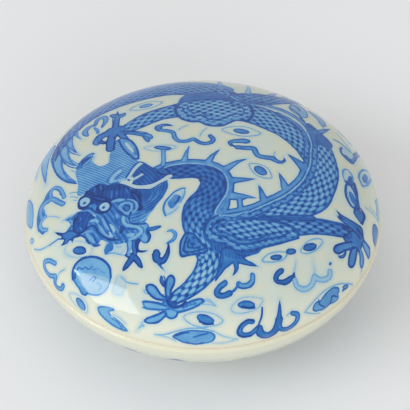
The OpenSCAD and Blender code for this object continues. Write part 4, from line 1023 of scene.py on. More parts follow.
# Inside of the bowl, from beside its lowest point up to the rim.
def bowlInside(steps):
    t = np.radians(np.linspace(88, 0, steps))
    bowl = innerPoint(shape["baseRadius"], shape["bowlDepth"], shape["baseWall"], t)
    bowl[:, 1] = seam - bowl[:, 1]
    return bowl


# Arc of a circle about a centre, from one angle to another in degrees.
def arcPoints(centre, radius, start, stop, count):
    t = np.radians(np.linspace(start, stop, count))
    return np.stack([centre[0] + radius * np.cos(t), centre[1] + radius * np.sin(t)], axis=1)


# Points set evenly by arc length along a profile.
def evenly(profile, spacing):
    profile = np.array(profile)
    reach = reachAlong(profile)
    count = max(2, int(round(reach[-1] / spacing)) + 1)
    at = np.linspace(0, reach[-1], count)
    return np.stack([np.interp(at, reach, profile[:, k]) for k in (0, 1)], axis=1)


# Square grid pressed into a unit disc, even up to the middle: with u the larger of the two
# coordinates, radius = u and angle = 45 degrees times the smaller over u.
def discGrid(n):
    u, v = np.meshgrid(np.linspace(-1, 1, n + 1), np.linspace(-1, 1, n + 1))
    wide = np.abs(u) >= np.abs(v)
    big = np.where(wide, u, v)
    small = np.where(wide, v, u)
    turn = math.pi / 4 * small / np.where(big == 0, 1, big)
    angle = np.where(wide, turn, math.pi / 2 - turn)
    angle = np.where(big < 0, angle + math.pi, angle)
    return np.abs(big).ravel(), angle.ravel()


# Faces of that grid, facing up: each cell's four corners in turn.
def discFaces(n, start=0):
    i, j = np.meshgrid(np.arange(n), np.arange(n))
    a = (start + j * (n + 1) + i).ravel()
    return np.stack([a, a + 1, a + n + 2, a + n + 1], axis=1)


# Numbers of the grid's border points, against the clock from the corner at -135 degrees.
def discBorder(n, start=0):
    south = np.arange(n)
    east = n + south * (n + 1)
    north = (n + 1) ** 2 - 1 - south
    west = (n - south) * (n + 1)
    return start + np.concatenate([south, east, north, west])


# Quads between two rings of the same count; they face out when the rings go against the clock
# and the second lies below the first.
def ringFaces(upper, lower):
    return np.stack([upper, lower, np.roll(lower, -1), np.roll(upper, -1)], axis=1)


# Ring of 4 n points joined to a ring of n points below it: five triangles for each of the n.
def narrowFaces(many, few):
    m = many.reshape(-1, 4)
    nextMany = np.roll(m[:, 0], -1)
    nextFew = np.roll(few, -1)
    tris = [
        (m[:, 0], few, m[:, 1]),
        (m[:, 1], few, m[:, 2]),
        (m[:, 2], few, nextFew),
        (m[:, 2], nextFew, m[:, 3]),
        (m[:, 3], nextFew, nextMany),
    ]
    return np.concatenate([np.stack(corners, axis=1) for corners in tris])


# Points and faces of one piece; adding a ring gives back the numbers of its points.
class Turning:
    def __init__(self):
        self.points = []
        self.quads = []
        self.tris = []
        self.count = 0

    def add(self, r, angle, z):
        r, angle, z = np.broadcast_arrays(r, angle, z)
        self.points.append(np.stack([r * np.cos(angle), r * np.sin(angle), z], axis=1))
        numbers = self.count + np.arange(len(r))
        self.count += len(r)
        return numbers

    # Adds one ring for each profile point.
    def turn(self, ring, angles, profile):
        for r, z in profile:
            new = self.add(r, angles, z)
            self.quads.append(ringFaces(ring, new))
            ring = new
        return ring

    # Dome over a disc: the disc's radius runs evenly along a curve from its pole to its edge.
    def dome(self, cells, curve):
        reach = reachAlong(curve)
        radius, angle = discGrid(cells)
        r, z = [np.interp(radius * reach[-1], reach, curve[:, k]) for k in (0, 1)]
        return self.add(r, angle, z)

    # Joins a ring to a disc that faces down.
    def closeBelow(self, ring, disc, cells):
        self.quads.append(discFaces(cells, disc[0])[:, ::-1])
        self.quads.append(ringFaces(ring, discBorder(cells, disc[0])))


# Mesh object from a turning's points and faces, smooth shaded.
def makePiece(name, turning):
    mesh = bpy.data.meshes.new(name)
    points = np.concatenate(turning.points) * mm
    quads = np.concatenate(turning.quads)
    tris = np.concatenate(turning.tris)
    mesh.vertices.add(len(points))
    mesh.vertices.foreach_set("co", points.astype(np.float32).ravel())
    corners = np.concatenate([quads.ravel(), tris.ravel()]).astype(np.int32)
    starts = np.concatenate([np.arange(len(quads)) * 4, len(quads) * 4 + np.arange(len(tris)) * 3])
    mesh.loops.add(len(corners))
    mesh.loops.foreach_set("vertex_index", corners)
    mesh.polygons.add(len(quads) + len(tris))
    mesh.polygons.foreach_set("loop_start", starts.astype(np.int32))
    mesh.update(calc_edges=True)
    mesh.validate()
    mesh.polygons.foreach_set("use_smooth", np.ones(len(mesh.polygons), bool))
    mesh.update()
    piece = bpy.data.objects.new(name, mesh)
    bpy.context.scene.collection.objects.link(piece)
    return piece


# Point attribute from one value per point.
def giveAttribute(piece, name, values):
    layer = piece.data.attributes.new(name, "FLOAT", "POINT")
    layer.data.foreach_set("value", np.asarray(values, dtype=np.float32))


# Point attributes of a painting: its fields on the painted points, bare glaze on the others.
def givePainting(piece, points, painted, fields):
    whole = newPainting(points)
    for name in paintLayers:
        whole[name][painted] = fields[name]
        giveAttribute(piece, name, whole[name])


# UV map from one pair of numbers per point.
def giveUv(piece, name, uv):
    corners = np.empty(len(piece.data.loops), dtype=np.int32)
    piece.data.loops.foreach_get("vertex_index", corners)
    layer = piece.data.uv_layers.new(name=name)
    layer.data.foreach_set("uv", uv[corners].astype(np.float32).ravel())


# Plan view on the map used for baking: the plan fills a square about a centre.
def planOnMap(points, centre, half):
    return np.array(centre) + points[:, :2] / shape["baseRadius"] * half


cover = {
    "cells": 288,  # cells across the painted dome; its border has four times as many points
    "domeSteps": 2000,
    "hollowSteps": 600,
    "stripRadius": 33.0,  # radius at which the strip next to the edge is unrolled
    "cornerInset": 0.1,  # first ring on the seat
    "seatRings": (0.9, 0.8),  # next two, from its outer and its inner side
    "bareHalf": 0.75,  # half width of the bare ring that the cover stands on
    "bareRound": 0.14,
    "mapDisc": 0.485,  # radius of the painted dome on the map
    "mapCorner": (0.07, 0.06),  # middle and half side of the rest, in the map's corner
}


# Cover: painted dome, rounded edge, bare seat, lip and hollow. Dome and hollow follow the outer
# and the inner curve; the glaze ends at a set distance from a ring in the middle of the seat.
def buildLid():
    r0 = shape["lidRadius"]
    rise = shape["lidRise"]
    edge = shape["lidEdge"]
    inner = r0 - shape["lidWall"]
    cells = cover["cells"]
    turning = Turning()

    t = np.linspace(math.pi / 2, math.asin(edge / rise), cover["domeSteps"])
    curve = curvePoint(r0, rise, t) + (0, seam)
    top = turning.dome(cells, curve)
    turning.quads.append(discFaces(cells))
    radius, angle = discGrid(cells)
    border = discBorder(cells)
    angles = angle[border]

    # rounded edge, then fewer columns for seat and hollow
    ring = turning.turn(border, angles, arcPoints((r0 - edge, seam + edge), edge, -20, -90, 4))
    small = turning.add(r0 - edge - cover["cornerInset"], angles[::4], seam)
    turning.tris.append(narrowFaces(ring, small))
    bend = shape["innerEdge"]
    lip = arcPoints((inner + bend, seam + bend), bend, 270, 180, 5)
    outside, inside = cover["seatRings"]
    seat = np.vstack([[r0 - outside, seam], [inner + inside, seam], lip])
    ring = turning.turn(small, angles[::4], seat)
    t = np.radians(np.linspace(90, 4, cover["hollowSteps"]))
    hollow = turning.dome(cells // 4, innerPoint(r0, rise, shape["lidWall"], t) + (0, seam))
    turning.closeBelow(ring, hollow, cells // 4)
    piece = makePiece("lid_porcelain", turning)

    points = np.concatenate(turning.points)
    spots = points[top, :2]
    turn = np.arctan2(spots[:, 0], -spots[:, 1])
    up = (1 - radius) * reachAlong(curve)[-1]
    fields = paintLid(spots, np.stack([turn * cover["stripRadius"], up], axis=1))
    givePainting(piece, points, top, fields)
    distance = np.hypot(points[:, 0], points[:, 1])
    beside = np.maximum(abs(distance - (r0 + inner) / 2) - cover["bareHalf"], 0)
    glazed = np.hypot(beside, points[:, 2] - seam) - cover["bareRound"]
    glazed[top] = np.maximum(glazed[top], up)
    giveAttribute(piece, "glazed", glazed)

    middle, half = cover["mapCorner"]
    uv = planOnMap(points, (middle, middle), half)
    disc = cover["mapDisc"] * radius
    uv[top] = 0.5 + np.stack([disc * np.cos(angle), disc * np.sin(angle)], axis=1)
    giveUv(piece, "OFBake", uv)
    return piece


basin = {
    "columns": 160,  # columns inside; four times as many on the painted side
    "bowlSteps": 500,
    "sideSteps": 1500,
    "floorBlend": 0.8,  # width of the bend between floor and bowl
    "well": 30.9,  # radius of the upright wall inside the flange
    "flangeOuter": 32.7,
    "flangeTop": 19.4,
    "lean": 0.8,  # how far the flange leans in over its height
    "lipRadius": 0.65,
    "sideSpacing": 0.33,  # from ring to ring on the painted side
    "footTop": 20.1,
    # rings below the side, outwards and upwards from the foot's top and the side's end
    "footNeck": [(0.03, -0.22), (-0.12, -0.5)],
    "foot": [(19.5, 0.35), (19.47, 0.18), (19.36, 0.05), (19.15, 0), (18.95, 0), (18, 0),
             (17.9, 0)],
    "cove": 1.2,  # radius of the bend inside the foot ring
    "recess": 1.6,  # height of the underside's middle above the table
    "recessSag": 0.4,  # and how much lower it lies beside the cove
    "discInset": 0.5,  # from the cove to the disc that closes the underside
    "bareFlange": (0.35, 0.2, 0.35),  # past the well, below the seam, past the seat
    "bareFoot": (17.75, 19.75, 0.45),  # bare between two radii, up to a height
    "mapHalf": 0.2,  # half side of the inside and of the underside on the map
    "mapBand": (0.49, 0.45),  # half width and height of the painted side on the map
}


# Base: a profile turned about the middle from the floor over the flange and down to the foot;
# the painted side follows the outer curve below the seam.
def buildBase():
    r0 = shape["baseRadius"]
    depth = shape["bowlDepth"]
    edge = shape["baseEdge"]
    bend = shape["innerEdge"]
    well = basin["well"]
    columns = basin["columns"]
    turning = Turning()

    # floor, bowl, well, flange and seat
    bowl = bowlInside(basin["bowlSteps"])
    bowl = bowl[(bowl[:, 1] > shape["floor"] + 0.02) & (bowl[:, 0] < well)]
    radius, angle = discGrid(columns // 4)
    turning.add(radius * (bowl[0, 0] - basin["floorBlend"]), angle, shape["floor"])
    turning.quads.append(discFaces(columns // 4))
    border = discBorder(columns // 4)
    angles = angle[border]
    lipRadius = basin["lipRadius"]
    lipCentre = (basin["flangeOuter"] - basin["lean"] - lipRadius, basin["flangeTop"] - lipRadius)
    lip = arcPoints(lipCentre, lipRadius, 180, 0, 9)
    root = arcPoints((basin["flangeOuter"] + bend, seam + bend), bend, 180, 270, 5)
    profile = np.vstack([
        evenly(bowl, 1.0),
        evenly([bowl[-1], (well, seam)], 1.0)[1:],
        evenly([(well, seam), lip[0]], 0.8)[1:],
        lip[1:],
        evenly([lip[-1], root[0]], 0.7)[1:],
        root[1:],
        evenly([root[-1], (r0 - edge - 0.1, seam)], 0.7)[1:],
    ])
    ring = turning.turn(border, angles, profile)

    # rim and painted side with four times as many columns
    wide = angles[0] + np.arange(4 * columns) * math.pi / (2 * columns)
    rim = arcPoints((r0 - edge, seam - edge), edge, 90, 0, 6)
    wideRing = turning.add(rim[0, 0], wide, rim[0, 1])
    turning.tris.append(narrowFaces(wideRing, ring)[:, ::-1])
    wideRing = turning.turn(wideRing, wide, rim[1:])
    footTop = basin["footTop"]
    foot = math.acos(((footTop + bend) / r0) ** (shape["fullness"] / 2))
    t = np.linspace(math.asin(edge / depth), foot, basin["sideSteps"])
    side = curvePoint(r0, depth, t)
    side[:, 1] = seam - side[:, 1]
    side = evenly(side, basin["sideSpacing"])
    first = turning.count
    wideRing = turning.turn(wideRing, wide, side[1:])
    painted = np.arange(first, turning.count)

    # foot ring and the glazed hollow underneath
    neck = np.array(basin["footNeck"]) + (footTop, side[-1, 1])
    ring = turning.add(neck[0, 0], wide[::4], neck[0, 1])
    turning.tris.append(narrowFaces(wideRing, ring))
    ring = turning.turn(ring, wide[::4], np.vstack([neck[1:], basin["foot"]]))
    coveStart = basin["foot"][-1][0] - basin["cove"]
    ring = turning.turn(ring, wide[::4], arcPoints((coveStart, 0), basin["cove"], 6, 90, 10))
    r = radius * (coveStart - basin["discInset"])
    under = turning.add(r, angle, basin["recess"] - basin["recessSag"] * (r / coveStart) ** 2)
    turning.closeBelow(ring, under, columns // 4)
    piece = makePiece("base_porcelain", turning)

    points = np.concatenate(turning.points)
    rows = np.repeat(reachAlong(side)[1:], 4 * columns)
    around = np.arctan2(points[painted, 1], points[painted, 0])
    fields = paintBase(np.stack([around * cloudBand["radius"], -rows], axis=1))
    givePainting(piece, points, painted, fields)

    # bare porcelain on the flange, the seat and the foot ring
    r = np.hypot(points[:, 0], points[:, 1])
    z = points[:, 2]
    beyond, below, past = basin["bareFlange"]
    within, without, low = basin["bareFoot"]
    onFlange = np.minimum(r - well - beyond, np.minimum(z - seam + below, r0 - edge + past - r))
    onFoot = np.minimum(np.minimum(r - within, without - r), low - z)
    giveAttribute(piece, "glazed", -np.maximum(onFlange, onFoot))

    # map: inside at the upper left, underside at the upper right, side below them
    uv = planOnMap(points, (0.25, 0.75), basin["mapHalf"])
    uv[painted[-1] + 1:, 0] += 0.5
    width, height = basin["mapBand"]
    uv[painted, 0] = 0.5 + around / math.pi * width
    uv[painted, 1] = 0.5 - rows / rows.max() * height
    giveUv(piece, "OFBake", uv)
    return piece


paste = {
    "radius": 23.5,
    "top": 12.4,
    "side": 5.9,  # height at which the cake's shoulder begins
    "fullness": 3.2,
    "cells": 200,
    "bedSteps": 900,
    "clearance": 0.02,  # between the cake and the bowl
    "hollow": 0.9,  # depth of the swirl left by the spatula
    "strand": 0.32,  # height of the fibres drawn along it
    "lumps": (14, 4, 11),  # waves of kneading, and their shortest and longest pitch
    "fibres": (12, 0.5, 1.3),  # the same of the fibres
}


# Cake of paste with a full elliptic shoulder. Its top is lowered by a swirl of two arms (sine of
# twice the angle less the radius), lumps (a sum of plane waves) and fibres drawn along the swirl
# (a sum of waves of the radius plus the angle).
def buildPaste():
    turning = Turning()
    n = paste["cells"]
    radius, angle = discGrid(n)
    r = radius * paste["radius"]
    x = r * np.cos(angle)
    y = r * np.sin(angle)
    full = np.clip(1 - radius ** paste["fullness"], 0, 1) ** 0.5
    cake = paste["side"] + (paste["top"] - paste["side"]) * full

    spiral = np.sin(angle * 2 - r * 0.55 + 1.1 * np.sin(angle + r * 0.12))
    lumps = np.zeros_like(r)
    fibres = np.zeros_like(r)
    circle = 2 * math.pi
    count, shortest, longest = paste["lumps"]
    for k in range(count):
        turn = rng.uniform(0, circle)
        pitch = rng.uniform(shortest, longest)
        phase = rng.uniform(0, circle)
        lumps += np.sin((x * math.cos(turn) + y * math.sin(turn)) * circle / pitch + phase) / count
    count, shortest, longest = paste["fibres"]
    for k in range(count):
        pitch = rng.uniform(shortest, longest)
        waves = rng.integers(3, 9)
        phase = rng.uniform(0, circle)
        along = (r + 2.2 * angle + 1.6 * lumps) * circle / pitch
        fibres += np.sin(along + 3 * np.sin(angle * waves + phase)) / count
    fade = np.clip((1 - radius) * 5, 0, 1)  # to nothing over the outer fifth
    z = cake - paste["hollow"] * fade * (0.5 - 0.28 * spiral - 0.7 * lumps)
    z += paste["strand"] * fade * fibres - 0.15 * fade
    turning.add(r, angle, np.minimum(z, paste["top"] - 0.02))
    turning.quads.append(discFaces(n))
    border = discBorder(n)
    angles = angle[border][::4]

    # side and underside that fits the bowl
    bowl = bowlInside(paste["bedSteps"]) + (0, paste["clearance"])
    above = bowl[:, 1] > shape["floor"] + 2 * paste["clearance"]
    bed = bowl[(bowl[:, 0] < paste["radius"] - 0.05) & above]
    small = turning.add(bed[-1, 0], angles, bed[-1, 1])
    turning.tris.append(narrowFaces(border, small))
    ring = turning.turn(small, angles, evenly(bed[::-1], 0.8)[1:])
    radius, angle = discGrid(n // 4)
    flat = radius * (bed[0, 0] - basin["floorBlend"])
    under = turning.add(flat, angle, shape["floor"] + paste["clearance"])
    turning.closeBelow(ring, under, n // 4)
    return makePiece("seal_paste_cake", turning)


# Materials.


# Linear colour from an sRGB hex string: below 0.04045 a share of 12.92, above it a power of 2.4.
def colour(hexText):
    parts = np.array([int(hexText[k:k + 2], 16) / 255 for k in (1, 3, 5)])
    linear = np.where(parts <= 0.04045, parts / 12.92, ((parts + 0.055) / 1.055) ** 2.4)
    return (*linear.tolist(), 1.0)


# Adds a node with its settings, and its inputs as values or links; gives back one output. A
# kind may name its operation after a space.
def put(tree, kind, *inputs, out=0, named=None, **settings):
    kind, *operation = kind.split()
    node = tree.nodes.new("ShaderNode" + kind)
    if operation:
        node.operation = operation[0]
    for key, value in settings.items():
        setattr(node, key, value)
    for place, value in list(enumerate(inputs)) + list((named or {}).items()):
        if isinstance(value, bpy.types.NodeSocket):
            tree.links.new(value, node.inputs[place])
        elif value is not None:
            node.inputs[place].default_value = value
    return node.outputs[out] if len(node.outputs) else node


# Empty material and its node tree.
def newMaterial(name):
    material = bpy.data.materials.new(name)
    material.use_nodes = True
    material.node_tree.nodes.clear()
    return material, material.node_tree


glaze = {
    # thin to thick cobalt under the glaze
    "cobalt": [(0.0, "#ffffff"), (0.1, "#dde9ee"), (0.36, "#76abcf"), (0.58, "#2f75bb"),
               (0.78, "#0f4c9c"), (1.0, "#06286c")],
    # painted shade: a deeper, bluer cobalt on the side towards the viewer
    "shadedFrontCobalt": [(0.0, "#ffffff"), (0.1, "#dce8ee"), (0.36, "#6ca7ce"), (0.58, "#1c6bb1"),
                    (0.78, "#0b509e"), (1.0, "#02307a")],
    "front": (-25, -13),  # mm from the middle towards the viewer: all of the painted-shade front cobalt, and none of it
    "crown": "#bcc7bf",  # glaze away from the edges, greenish grey and darkened as painted shade over the crown
    "crownWarm": "#c5c8b5",  # and in patches where iron in the body shows through
    "edge": "#d2d3bf",  # and towards the edge, where it runs thin over a cream body
    "bare": "#e6dccb",
    "bareEdge": "#dcc49c",
    "roughness": 0.06,
    "bareRoughness": 0.55,
    "softness": {"line": 0.1, "hair": 0.12, "white": 0.09},  # mm over which an edge fades
    "waver": 0.22,  # mm by which an edge wanders
    "bleed": 0.12,  # cobalt that ran out round a stroke
    "bleedReach": {"wash": 0.8, "line": 0.7, "skin": 0.7, "hair": 0.7},  # and how far it ran
    "scaleLong": 1.2,  # mm from row to row of scales
    "scaleWide": 1.35,  # mm from scale to scale across the body
    # marks on the skin: full up to here and gone from there, in mm, and how dense they are
    "net": (0.04, 0.3, 0.48),
    "knot": (0.22, 0.5, 0.92),
    "fold": (0.28, 0.46, 0.8),
    "netTone": (0.16, 0.74),  # darker than the skin by this, and never paler than this
    "knotTone": 0.9,
    "scaleLight": 0.06,  # how much paler the middle of a scale is
    "skinShade": (-0.08, 0.05),  # along the body's middle, and at its sides
    "strands": (0.12, 0.05),  # swing of the combed lines in pale and in dark hair
    "wetEdge": (0.76, 1.2),  # a wash inside, and where its wet edge dried
    # size of a lump in mm, and detail
    "noise": {"waver": (1.111, 2), "grain": (0.3846, 3), "pools": (2.381, 2),
              "iron": (4.348, 2), "waves": (4.167, 1)},
    "mottle": {"pools": 0.45, "grain": 0.18},
    "waveHeight": 0.4,  # mm
    "waveStrength": 0.12,
}


# Underglaze blue porcelain: white body painted in cobalt by brush, covered by a clear glaze that
# pools in places. Gives crisp but slightly bled blue edges under one glossy, gently wavy skin.
def underglazePorcelain(name):
    material, tree = newMaterial(name)
    add = partial(put, tree)
    smooth = {"interpolation_type": "SMOOTHSTEP"}
    colours = {"data_type": "RGBA", "out": 2}
    field = {layer: add("Attribute", out=2, attribute_name=layer)
             for layer in (*paintLayers, "glazed")}
    place = add("TexCoord", out=3)
    noise = {}
    for key, (size, detail) in glaze["noise"].items():
        noise[key] = add("TexNoise", named={"Vector": place, "Scale": 1 / (size * mm),
                                            "Detail": detail})
    waver = add("Math SUBTRACT", noise["waver"], 0.5)
    waver = add("Math MULTIPLY", waver, glaze["waver"])

    # share of a layer: 1 inside its edge, 0 outside
    def share(layer):
        soft = glaze["softness"].get(layer, glaze["softness"]["line"])
        edge = add("Math ADD", field[layer], waver)
        return add("MapRange", edge, -soft, soft, 1.0, 0.0, **smooth)

    # bled cobalt around every painted form
    density = 0.0
    for layer, reach in glaze["bleedReach"].items():
        halo = add("MapRange", field[layer], 0.0, reach, glaze["bleed"], 0.0, **smooth)
        density = add("Math MAXIMUM", halo, density)

    # scaled skin: two sets of slanting lines cross in a net; toLine counts from the nearest one
    lengthwise = add("Math DIVIDE", field["along"], 2 * glaze["scaleLong"])
    crosswise = add("Math DIVIDE", field["across"], glaze["scaleWide"])
    toLine = []
    for sense in ("ADD", "SUBTRACT"):
        turn = add("Math " + sense, crosswise, lengthwise)
        turn = add("Math FRACT", add("Math ADD", turn, 0.5))
        toLine.append(add("Math SUBTRACT", turn, 0.5))
    beside = [add("Math ABSOLUTE", to) for to in toLine]
    nearest = add("Math MINIMUM", *beside)
    gap = 1 / math.hypot(1 / glaze["scaleWide"], 0.5 / glaze["scaleLong"])
    nearest = add("Math MULTIPLY", nearest, gap)
    nearest = add("Math MULTIPLY_ADD", waver, 0.8, nearest)
    net = add("MapRange", nearest, *glaze["net"], 0.0, **smooth)
    light = add("MapRange", nearest, 0.12, 0.4, 0.0, glaze["scaleLight"])

    # dark dab at every knot of the net, by its distance along and across the body
    fromKnot = []
    for sense, pitch in (("SUBTRACT", glaze["scaleLong"]), ("ADD", glaze["scaleWide"] / 2)):
        off = add("Math " + sense, *toLine)
        off = add("Math MULTIPLY", off, pitch)
        fromKnot.append(add("Math MULTIPLY", off, off))
    knotFar = add("Math SQRT", add("Math ADD", *fromKnot))
    knot = add("Math ADD", knotFar, waver)
    knot = add("MapRange", knot, *glaze["knot"], 0.0, **smooth)
    fold = add("Math ADD", field["fold"], waver)
    fold = add("MapRange", fold, *glaze["fold"], 0.0, **smooth)
    middle, sides = glaze["skinShade"]
    ground = add("MapRange", field["skin"], -1.5, -0.2, middle, sides)
    ground = add("Math ADD", field["skinTone"], ground)
    darker, least = glaze["netTone"]
    netTone = add("Math ADD", ground, darker)
    netTone = add("Math MAXIMUM", netTone, least)
    skin = add("Math SUBTRACT", ground, light)
    skin = add("Mix", net, None, skin, netTone)
    skin = add("Mix", knot, None, skin, glaze["knotTone"])
    skin = add("Math MAXIMUM", skin, fold)
    density = add("Mix", share("skin"), None, density, skin)

    # combed hair: fine lines, strongest where the brush held little cobalt
    turn = add("Math MULTIPLY", field["comb"], 2 * math.pi)
    swing = add("MapRange", field["hairTone"], 0.5, 0.86, *glaze["strands"])
    hair = add("Math MULTIPLY_ADD", add("Math COSINE", turn), swing, field["hairTone"])
    density = add("Mix", share("hair"), None, density, hair)

    # washes: mid blue with a darker line where the wet edge dried
    wet = add("MapRange", field["wash"], -0.46, -0.06, *glaze["wetEdge"], **smooth)
    wash = add("Math MULTIPLY", field["washTone"], wet)
    under = add("Math MULTIPLY", density, 0.9)
    wash = add("Math MAXIMUM", wash, under)
    density = add("Mix", share("wash"), None, density, wash)
    density = add("Mix", share("white"), None, density, field["whiteTone"])

    # thin lines, by the distance from their middle
    off = add("Math ABSOLUTE", field["lineSide"])
    off = add("Math SUBTRACT", off, field["lineHalf"])
    off = add("Math MULTIPLY_ADD", waver, 0.7, off)
    soft = glaze["softness"]["line"]
    line = add("MapRange", off, -soft, soft, 1.0, 0.0, **smooth)
    near = add("MapRange", field["line"], 0.03, 0.14, 1.0, 0.0)
    line = add("Math MULTIPLY", line, near)
    lineTone = add("Math MAXIMUM", field["lineTone"], density)
    density = add("Mix", line, None, density, lineTone)
    density = add("Mix", share("dot"), None, density, field["dotTone"])

    # pigment that pooled and settled unevenly
    mottle = 1.0
    for key, strength in glaze["mottle"].items():
        lump = add("Math SUBTRACT", noise[key], 0.5)
        mottle = add("Math MULTIPLY_ADD", lump, strength, mottle)
    density = add("Math MULTIPLY", density, mottle)

    blues = []
    for key in ("cobalt", "shadedFrontCobalt"):
        ramp = add("ValToRGB", density)
        stops = ramp.node.color_ramp.elements
        for number, (at, hexText) in enumerate(glaze[key]):
            stop = stops[number] if number < 2 else stops.new(at)
            stop.position = at
            stop.color = colour(hexText)
        blues.append(ramp)
    # painted shade: the cobalt deepens towards the front, the side towards the viewer
    fromMiddle = add("SeparateXYZ", place, out=1)
    full, none = glaze["front"]
    front = add("MapRange", fromMiddle, full * mm, none * mm, 1.0, 0.0)
    blue = add("Mix", front, named={6: blues[0], 7: blues[1]}, **colours)

    # clear glaze tints the whole: cream where it runs thin near the bare rings, greenish grey further from
    # them, with painted shade darkening the crown
    thickAndShaded = add("MapRange", field["glazed"], 1.0, 9.0, 0.0, 1.0, **smooth)
    iron = add("MapRange", noise["iron"], 0.36, 0.64, 0.0, 1.0)
    crown = add("Mix", iron, named={6: colour(glaze["crown"]), 7: colour(glaze["crownWarm"])},
                **colours)
    tint = add("Mix", thickAndShaded, named={6: colour(glaze["edge"]), 7: crown}, **colours)
    clear = add("MapRange", density, 0.02, 0.4, 1.0, 0.15)
    blue = add("Mix", clear, named={6: blue, 7: tint}, blend_type="MULTIPLY", **colours)

    # bare porcelain where the pieces stand or meet, with a rusty line at the glaze's edge
    edge = add("Math MULTIPLY_ADD", waver, 0.6, field["glazed"])
    glazed = add("MapRange", edge, -0.05, 0.06, 0.0, 1.0)
    rust = add("MapRange", add("Math ABSOLUTE", edge), 0.05, 0.4, 0.15, 0.0)
    body = add("Mix", rust, named={6: colour(glaze["bare"]), 7: colour(glaze["bareEdge"])},
               **colours)
    thin = add("MapRange", edge, 0.0, 1.6, 0.2, 0.0)
    blue = add("Mix", thin, named={6: blue, 7: colour(glaze["bareEdge"])}, **colours)
    surface = add("Mix", glazed, named={6: body, 7: blue}, **colours)
    rough = add("MapRange", glazed, 0.0, 1.0, glaze["bareRoughness"], glaze["roughness"])

    # glaze lies in slow waves of a few millimetres
    bump = add("Bump", named={"Height": noise["waves"], "Strength": glaze["waveStrength"],
                              "Distance": glaze["waveHeight"] * mm})
    shader = add("BsdfPrincipled", named={
        "Base Color": surface, "Roughness": rough, "IOR": 1.5, "Normal": bump})
    add("OutputMaterial", shader)
    return material


vermilion = {
    "dark": (0.3, "#7d100c"),  # place in the ramp, and colour
    "light": (0.68, "#c92a1c"),
    "roughness": 0.36,
    "lumps": (1.4286, 5),  # size in mm, and detail
    "fibres": (0.2857, 4),
    "fibreHeight": 0.2,  # mm
}


# Cinnabar seal paste: vermilion pigment kneaded with castor oil and moxa fibre. Gives a deep
# orange red, a satin oily shine and a fine fibrous grain.
def sealPaste():
    material, tree = newMaterial("vermilion seal paste")
    add = partial(put, tree)
    place = add("TexCoord", out=3)
    noise = {}
    for key in ("lumps", "fibres"):
        size, detail = vermilion[key]
        noise[key] = add("TexNoise", named={"Vector": place, "Scale": 1 / (size * mm),
                                            "Detail": detail})
    ramp = add("ValToRGB", noise["lumps"])
    for stop, key in zip(ramp.node.color_ramp.elements, ("dark", "light")):
        at, hexText = vermilion[key]
        stop.position = at
        stop.color = colour(hexText)
    bump = add("Bump", named={"Height": noise["fibres"], "Strength": 0.5,
                              "Distance": vermilion["fibreHeight"] * mm})
    shader = add("BsdfPrincipled", named={
        "Base Color": ramp, "Roughness": vermilion["roughness"], "IOR": 1.48, "Normal": bump})
    add("OutputMaterial", shader)
    return material


# The three pieces.
lid = buildLid()
lid.data.materials.append(underglazePorcelain("underglaze blue porcelain, cover"))
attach(lid, "lid")
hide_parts("lid")
print("cover painted")

base = buildBase()
base.data.materials.append(underglazePorcelain("underglaze blue porcelain, base"))
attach(base, "base")
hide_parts("base")
print("base painted")

cake = buildPaste()
cake.data.materials.append(sealPaste())
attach(cake, "base")
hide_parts("seal_paste")
print("paste kneaded")

# Studio: pale sheet, soft box from the left, even room light.

studio = {
    "floor": "#e6e6e6",
    "room": "#fdfdfc",
    "roomStrength": 0.735,
    "lampTint": "#f2f7ff",
    # name: azimuth and elevation in degrees, distance and sides in metres, roll in degrees,
    # power in watts, whether it lights surfaces and whether it shows in the glaze
    "softBoxes": {
        "front_left": (-152, 33, 1.62, (1.16, 0.74), 0, 10.5, True, False),
        "front_left_sheen": (-150, 28, 1.5, (0.84, 0.84), 40, 9.4, False, True),
        "bare_bulb": (-172.7, 24.5, 1.45, (0.08, 0.08), 0, 0.3, False, True),
        "front_fill": (-79, 23, 1.77, (1.6, 0.8), 0, 10.4, True, False),
    },
}

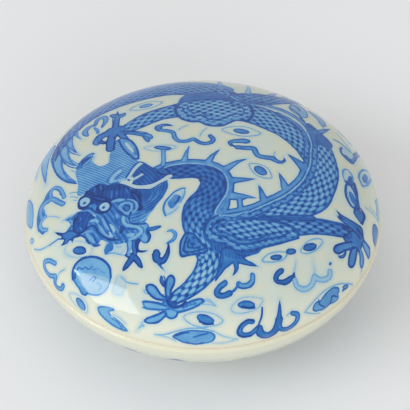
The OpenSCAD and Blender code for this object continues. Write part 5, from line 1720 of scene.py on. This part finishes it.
floorMesh = bpy.data.meshes.new("paper_sheet")
floorMesh.from_pydata([(-2, -2, 0), (2, -2, 0), (2, 2, 0), (-2, 2, 0)], [], [(0, 1, 2, 3)])
floorSheet = bpy.data.objects.new("paper_sheet", floorMesh)
bpy.context.scene.collection.objects.link(floorSheet)
paper, tree = newMaterial("matt paper")
matt = put(tree, "BsdfPrincipled", named={"Base Color": colour(studio["floor"]), "Roughness": 0.9,
                                          "IOR": 1.3})
put(tree, "OutputMaterial", matt)
floorMesh.materials.append(paper)
floorSheet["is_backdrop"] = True

world = bpy.data.worlds.new("room")
world.use_nodes = True
world.node_tree.nodes.clear()
room = put(world.node_tree, "Background", colour(studio["room"]), studio["roomStrength"])
put(world.node_tree, "OutputWorld", room)
bpy.context.scene.world = world

for name, (azimuth, height, far, size, roll, power, lights, shows) in studio["softBoxes"].items():
    around = math.radians(azimuth)
    above = math.radians(height)
    place = far * Vector((math.cos(above) * math.cos(around), math.cos(above) * math.sin(around),
                          math.sin(above)))
    softBox = bpy.data.lights.new(name, "AREA")
    softBox.shape = "RECTANGLE"
    softBox.size, softBox.size_y = size
    softBox.energy = power
    softBox.color = colour(studio["lampTint"])[:3]
    softBoxObject = bpy.data.objects.new(name, softBox)
    facing = (-place).to_track_quat("-Z", "Y").to_matrix().to_4x4()
    softBoxObject.matrix_world = (Matrix.Translation(place) @ facing
                                  @ Matrix.Rotation(math.radians(roll), 4, "Z"))
    softBoxObject.visible_diffuse = lights
    softBoxObject.visible_glossy = shows
    bpy.context.scene.collection.objects.link(softBoxObject)

# Camera, at the place the photograph was taken from.

photo = {
    "elevation": 46.28,
    "distance": 0.432,
    "lens": 188.03,
    "sensor": 36.0,
    "right": 0.000436,  # sideways step that puts the box where it stands in the picture
    "up": 0.001727,
    "roll": 0.34,
}

camera = bpy.data.cameras.new("camera")
camera.lens = photo["lens"]
camera.sensor_width = photo["sensor"]
camera.sensor_fit = "HORIZONTAL"
camera.clip_start = 0.01
cameraObject = bpy.data.objects.new("camera", camera)
tilt = math.radians(photo["elevation"])
view = Vector((0, -math.cos(tilt), math.sin(tilt)))
upward = Vector((0, math.sin(tilt), math.cos(tilt)))
place = Vector((0, 0, seam * mm)) + view * photo["distance"]
place += Vector((photo["right"], 0, 0)) + upward * photo["up"]
turned = Matrix.Rotation(math.pi / 2 - tilt, 4, "X") @ Matrix.Rotation(
    math.radians(photo["roll"]), 4, "Z")
cameraObject.matrix_world = Matrix.Translation(place) @ turned
bpy.context.scene.collection.objects.link(cameraObject)
bpy.context.scene.camera = cameraObject
bpy.context.scene.view_settings.view_transform = "Standard"
print("studio set")

both = {"cad": cadBounds, "scene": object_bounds()}
{k: [[float(n) for n in row] for row in v] for k, v in both.items()}
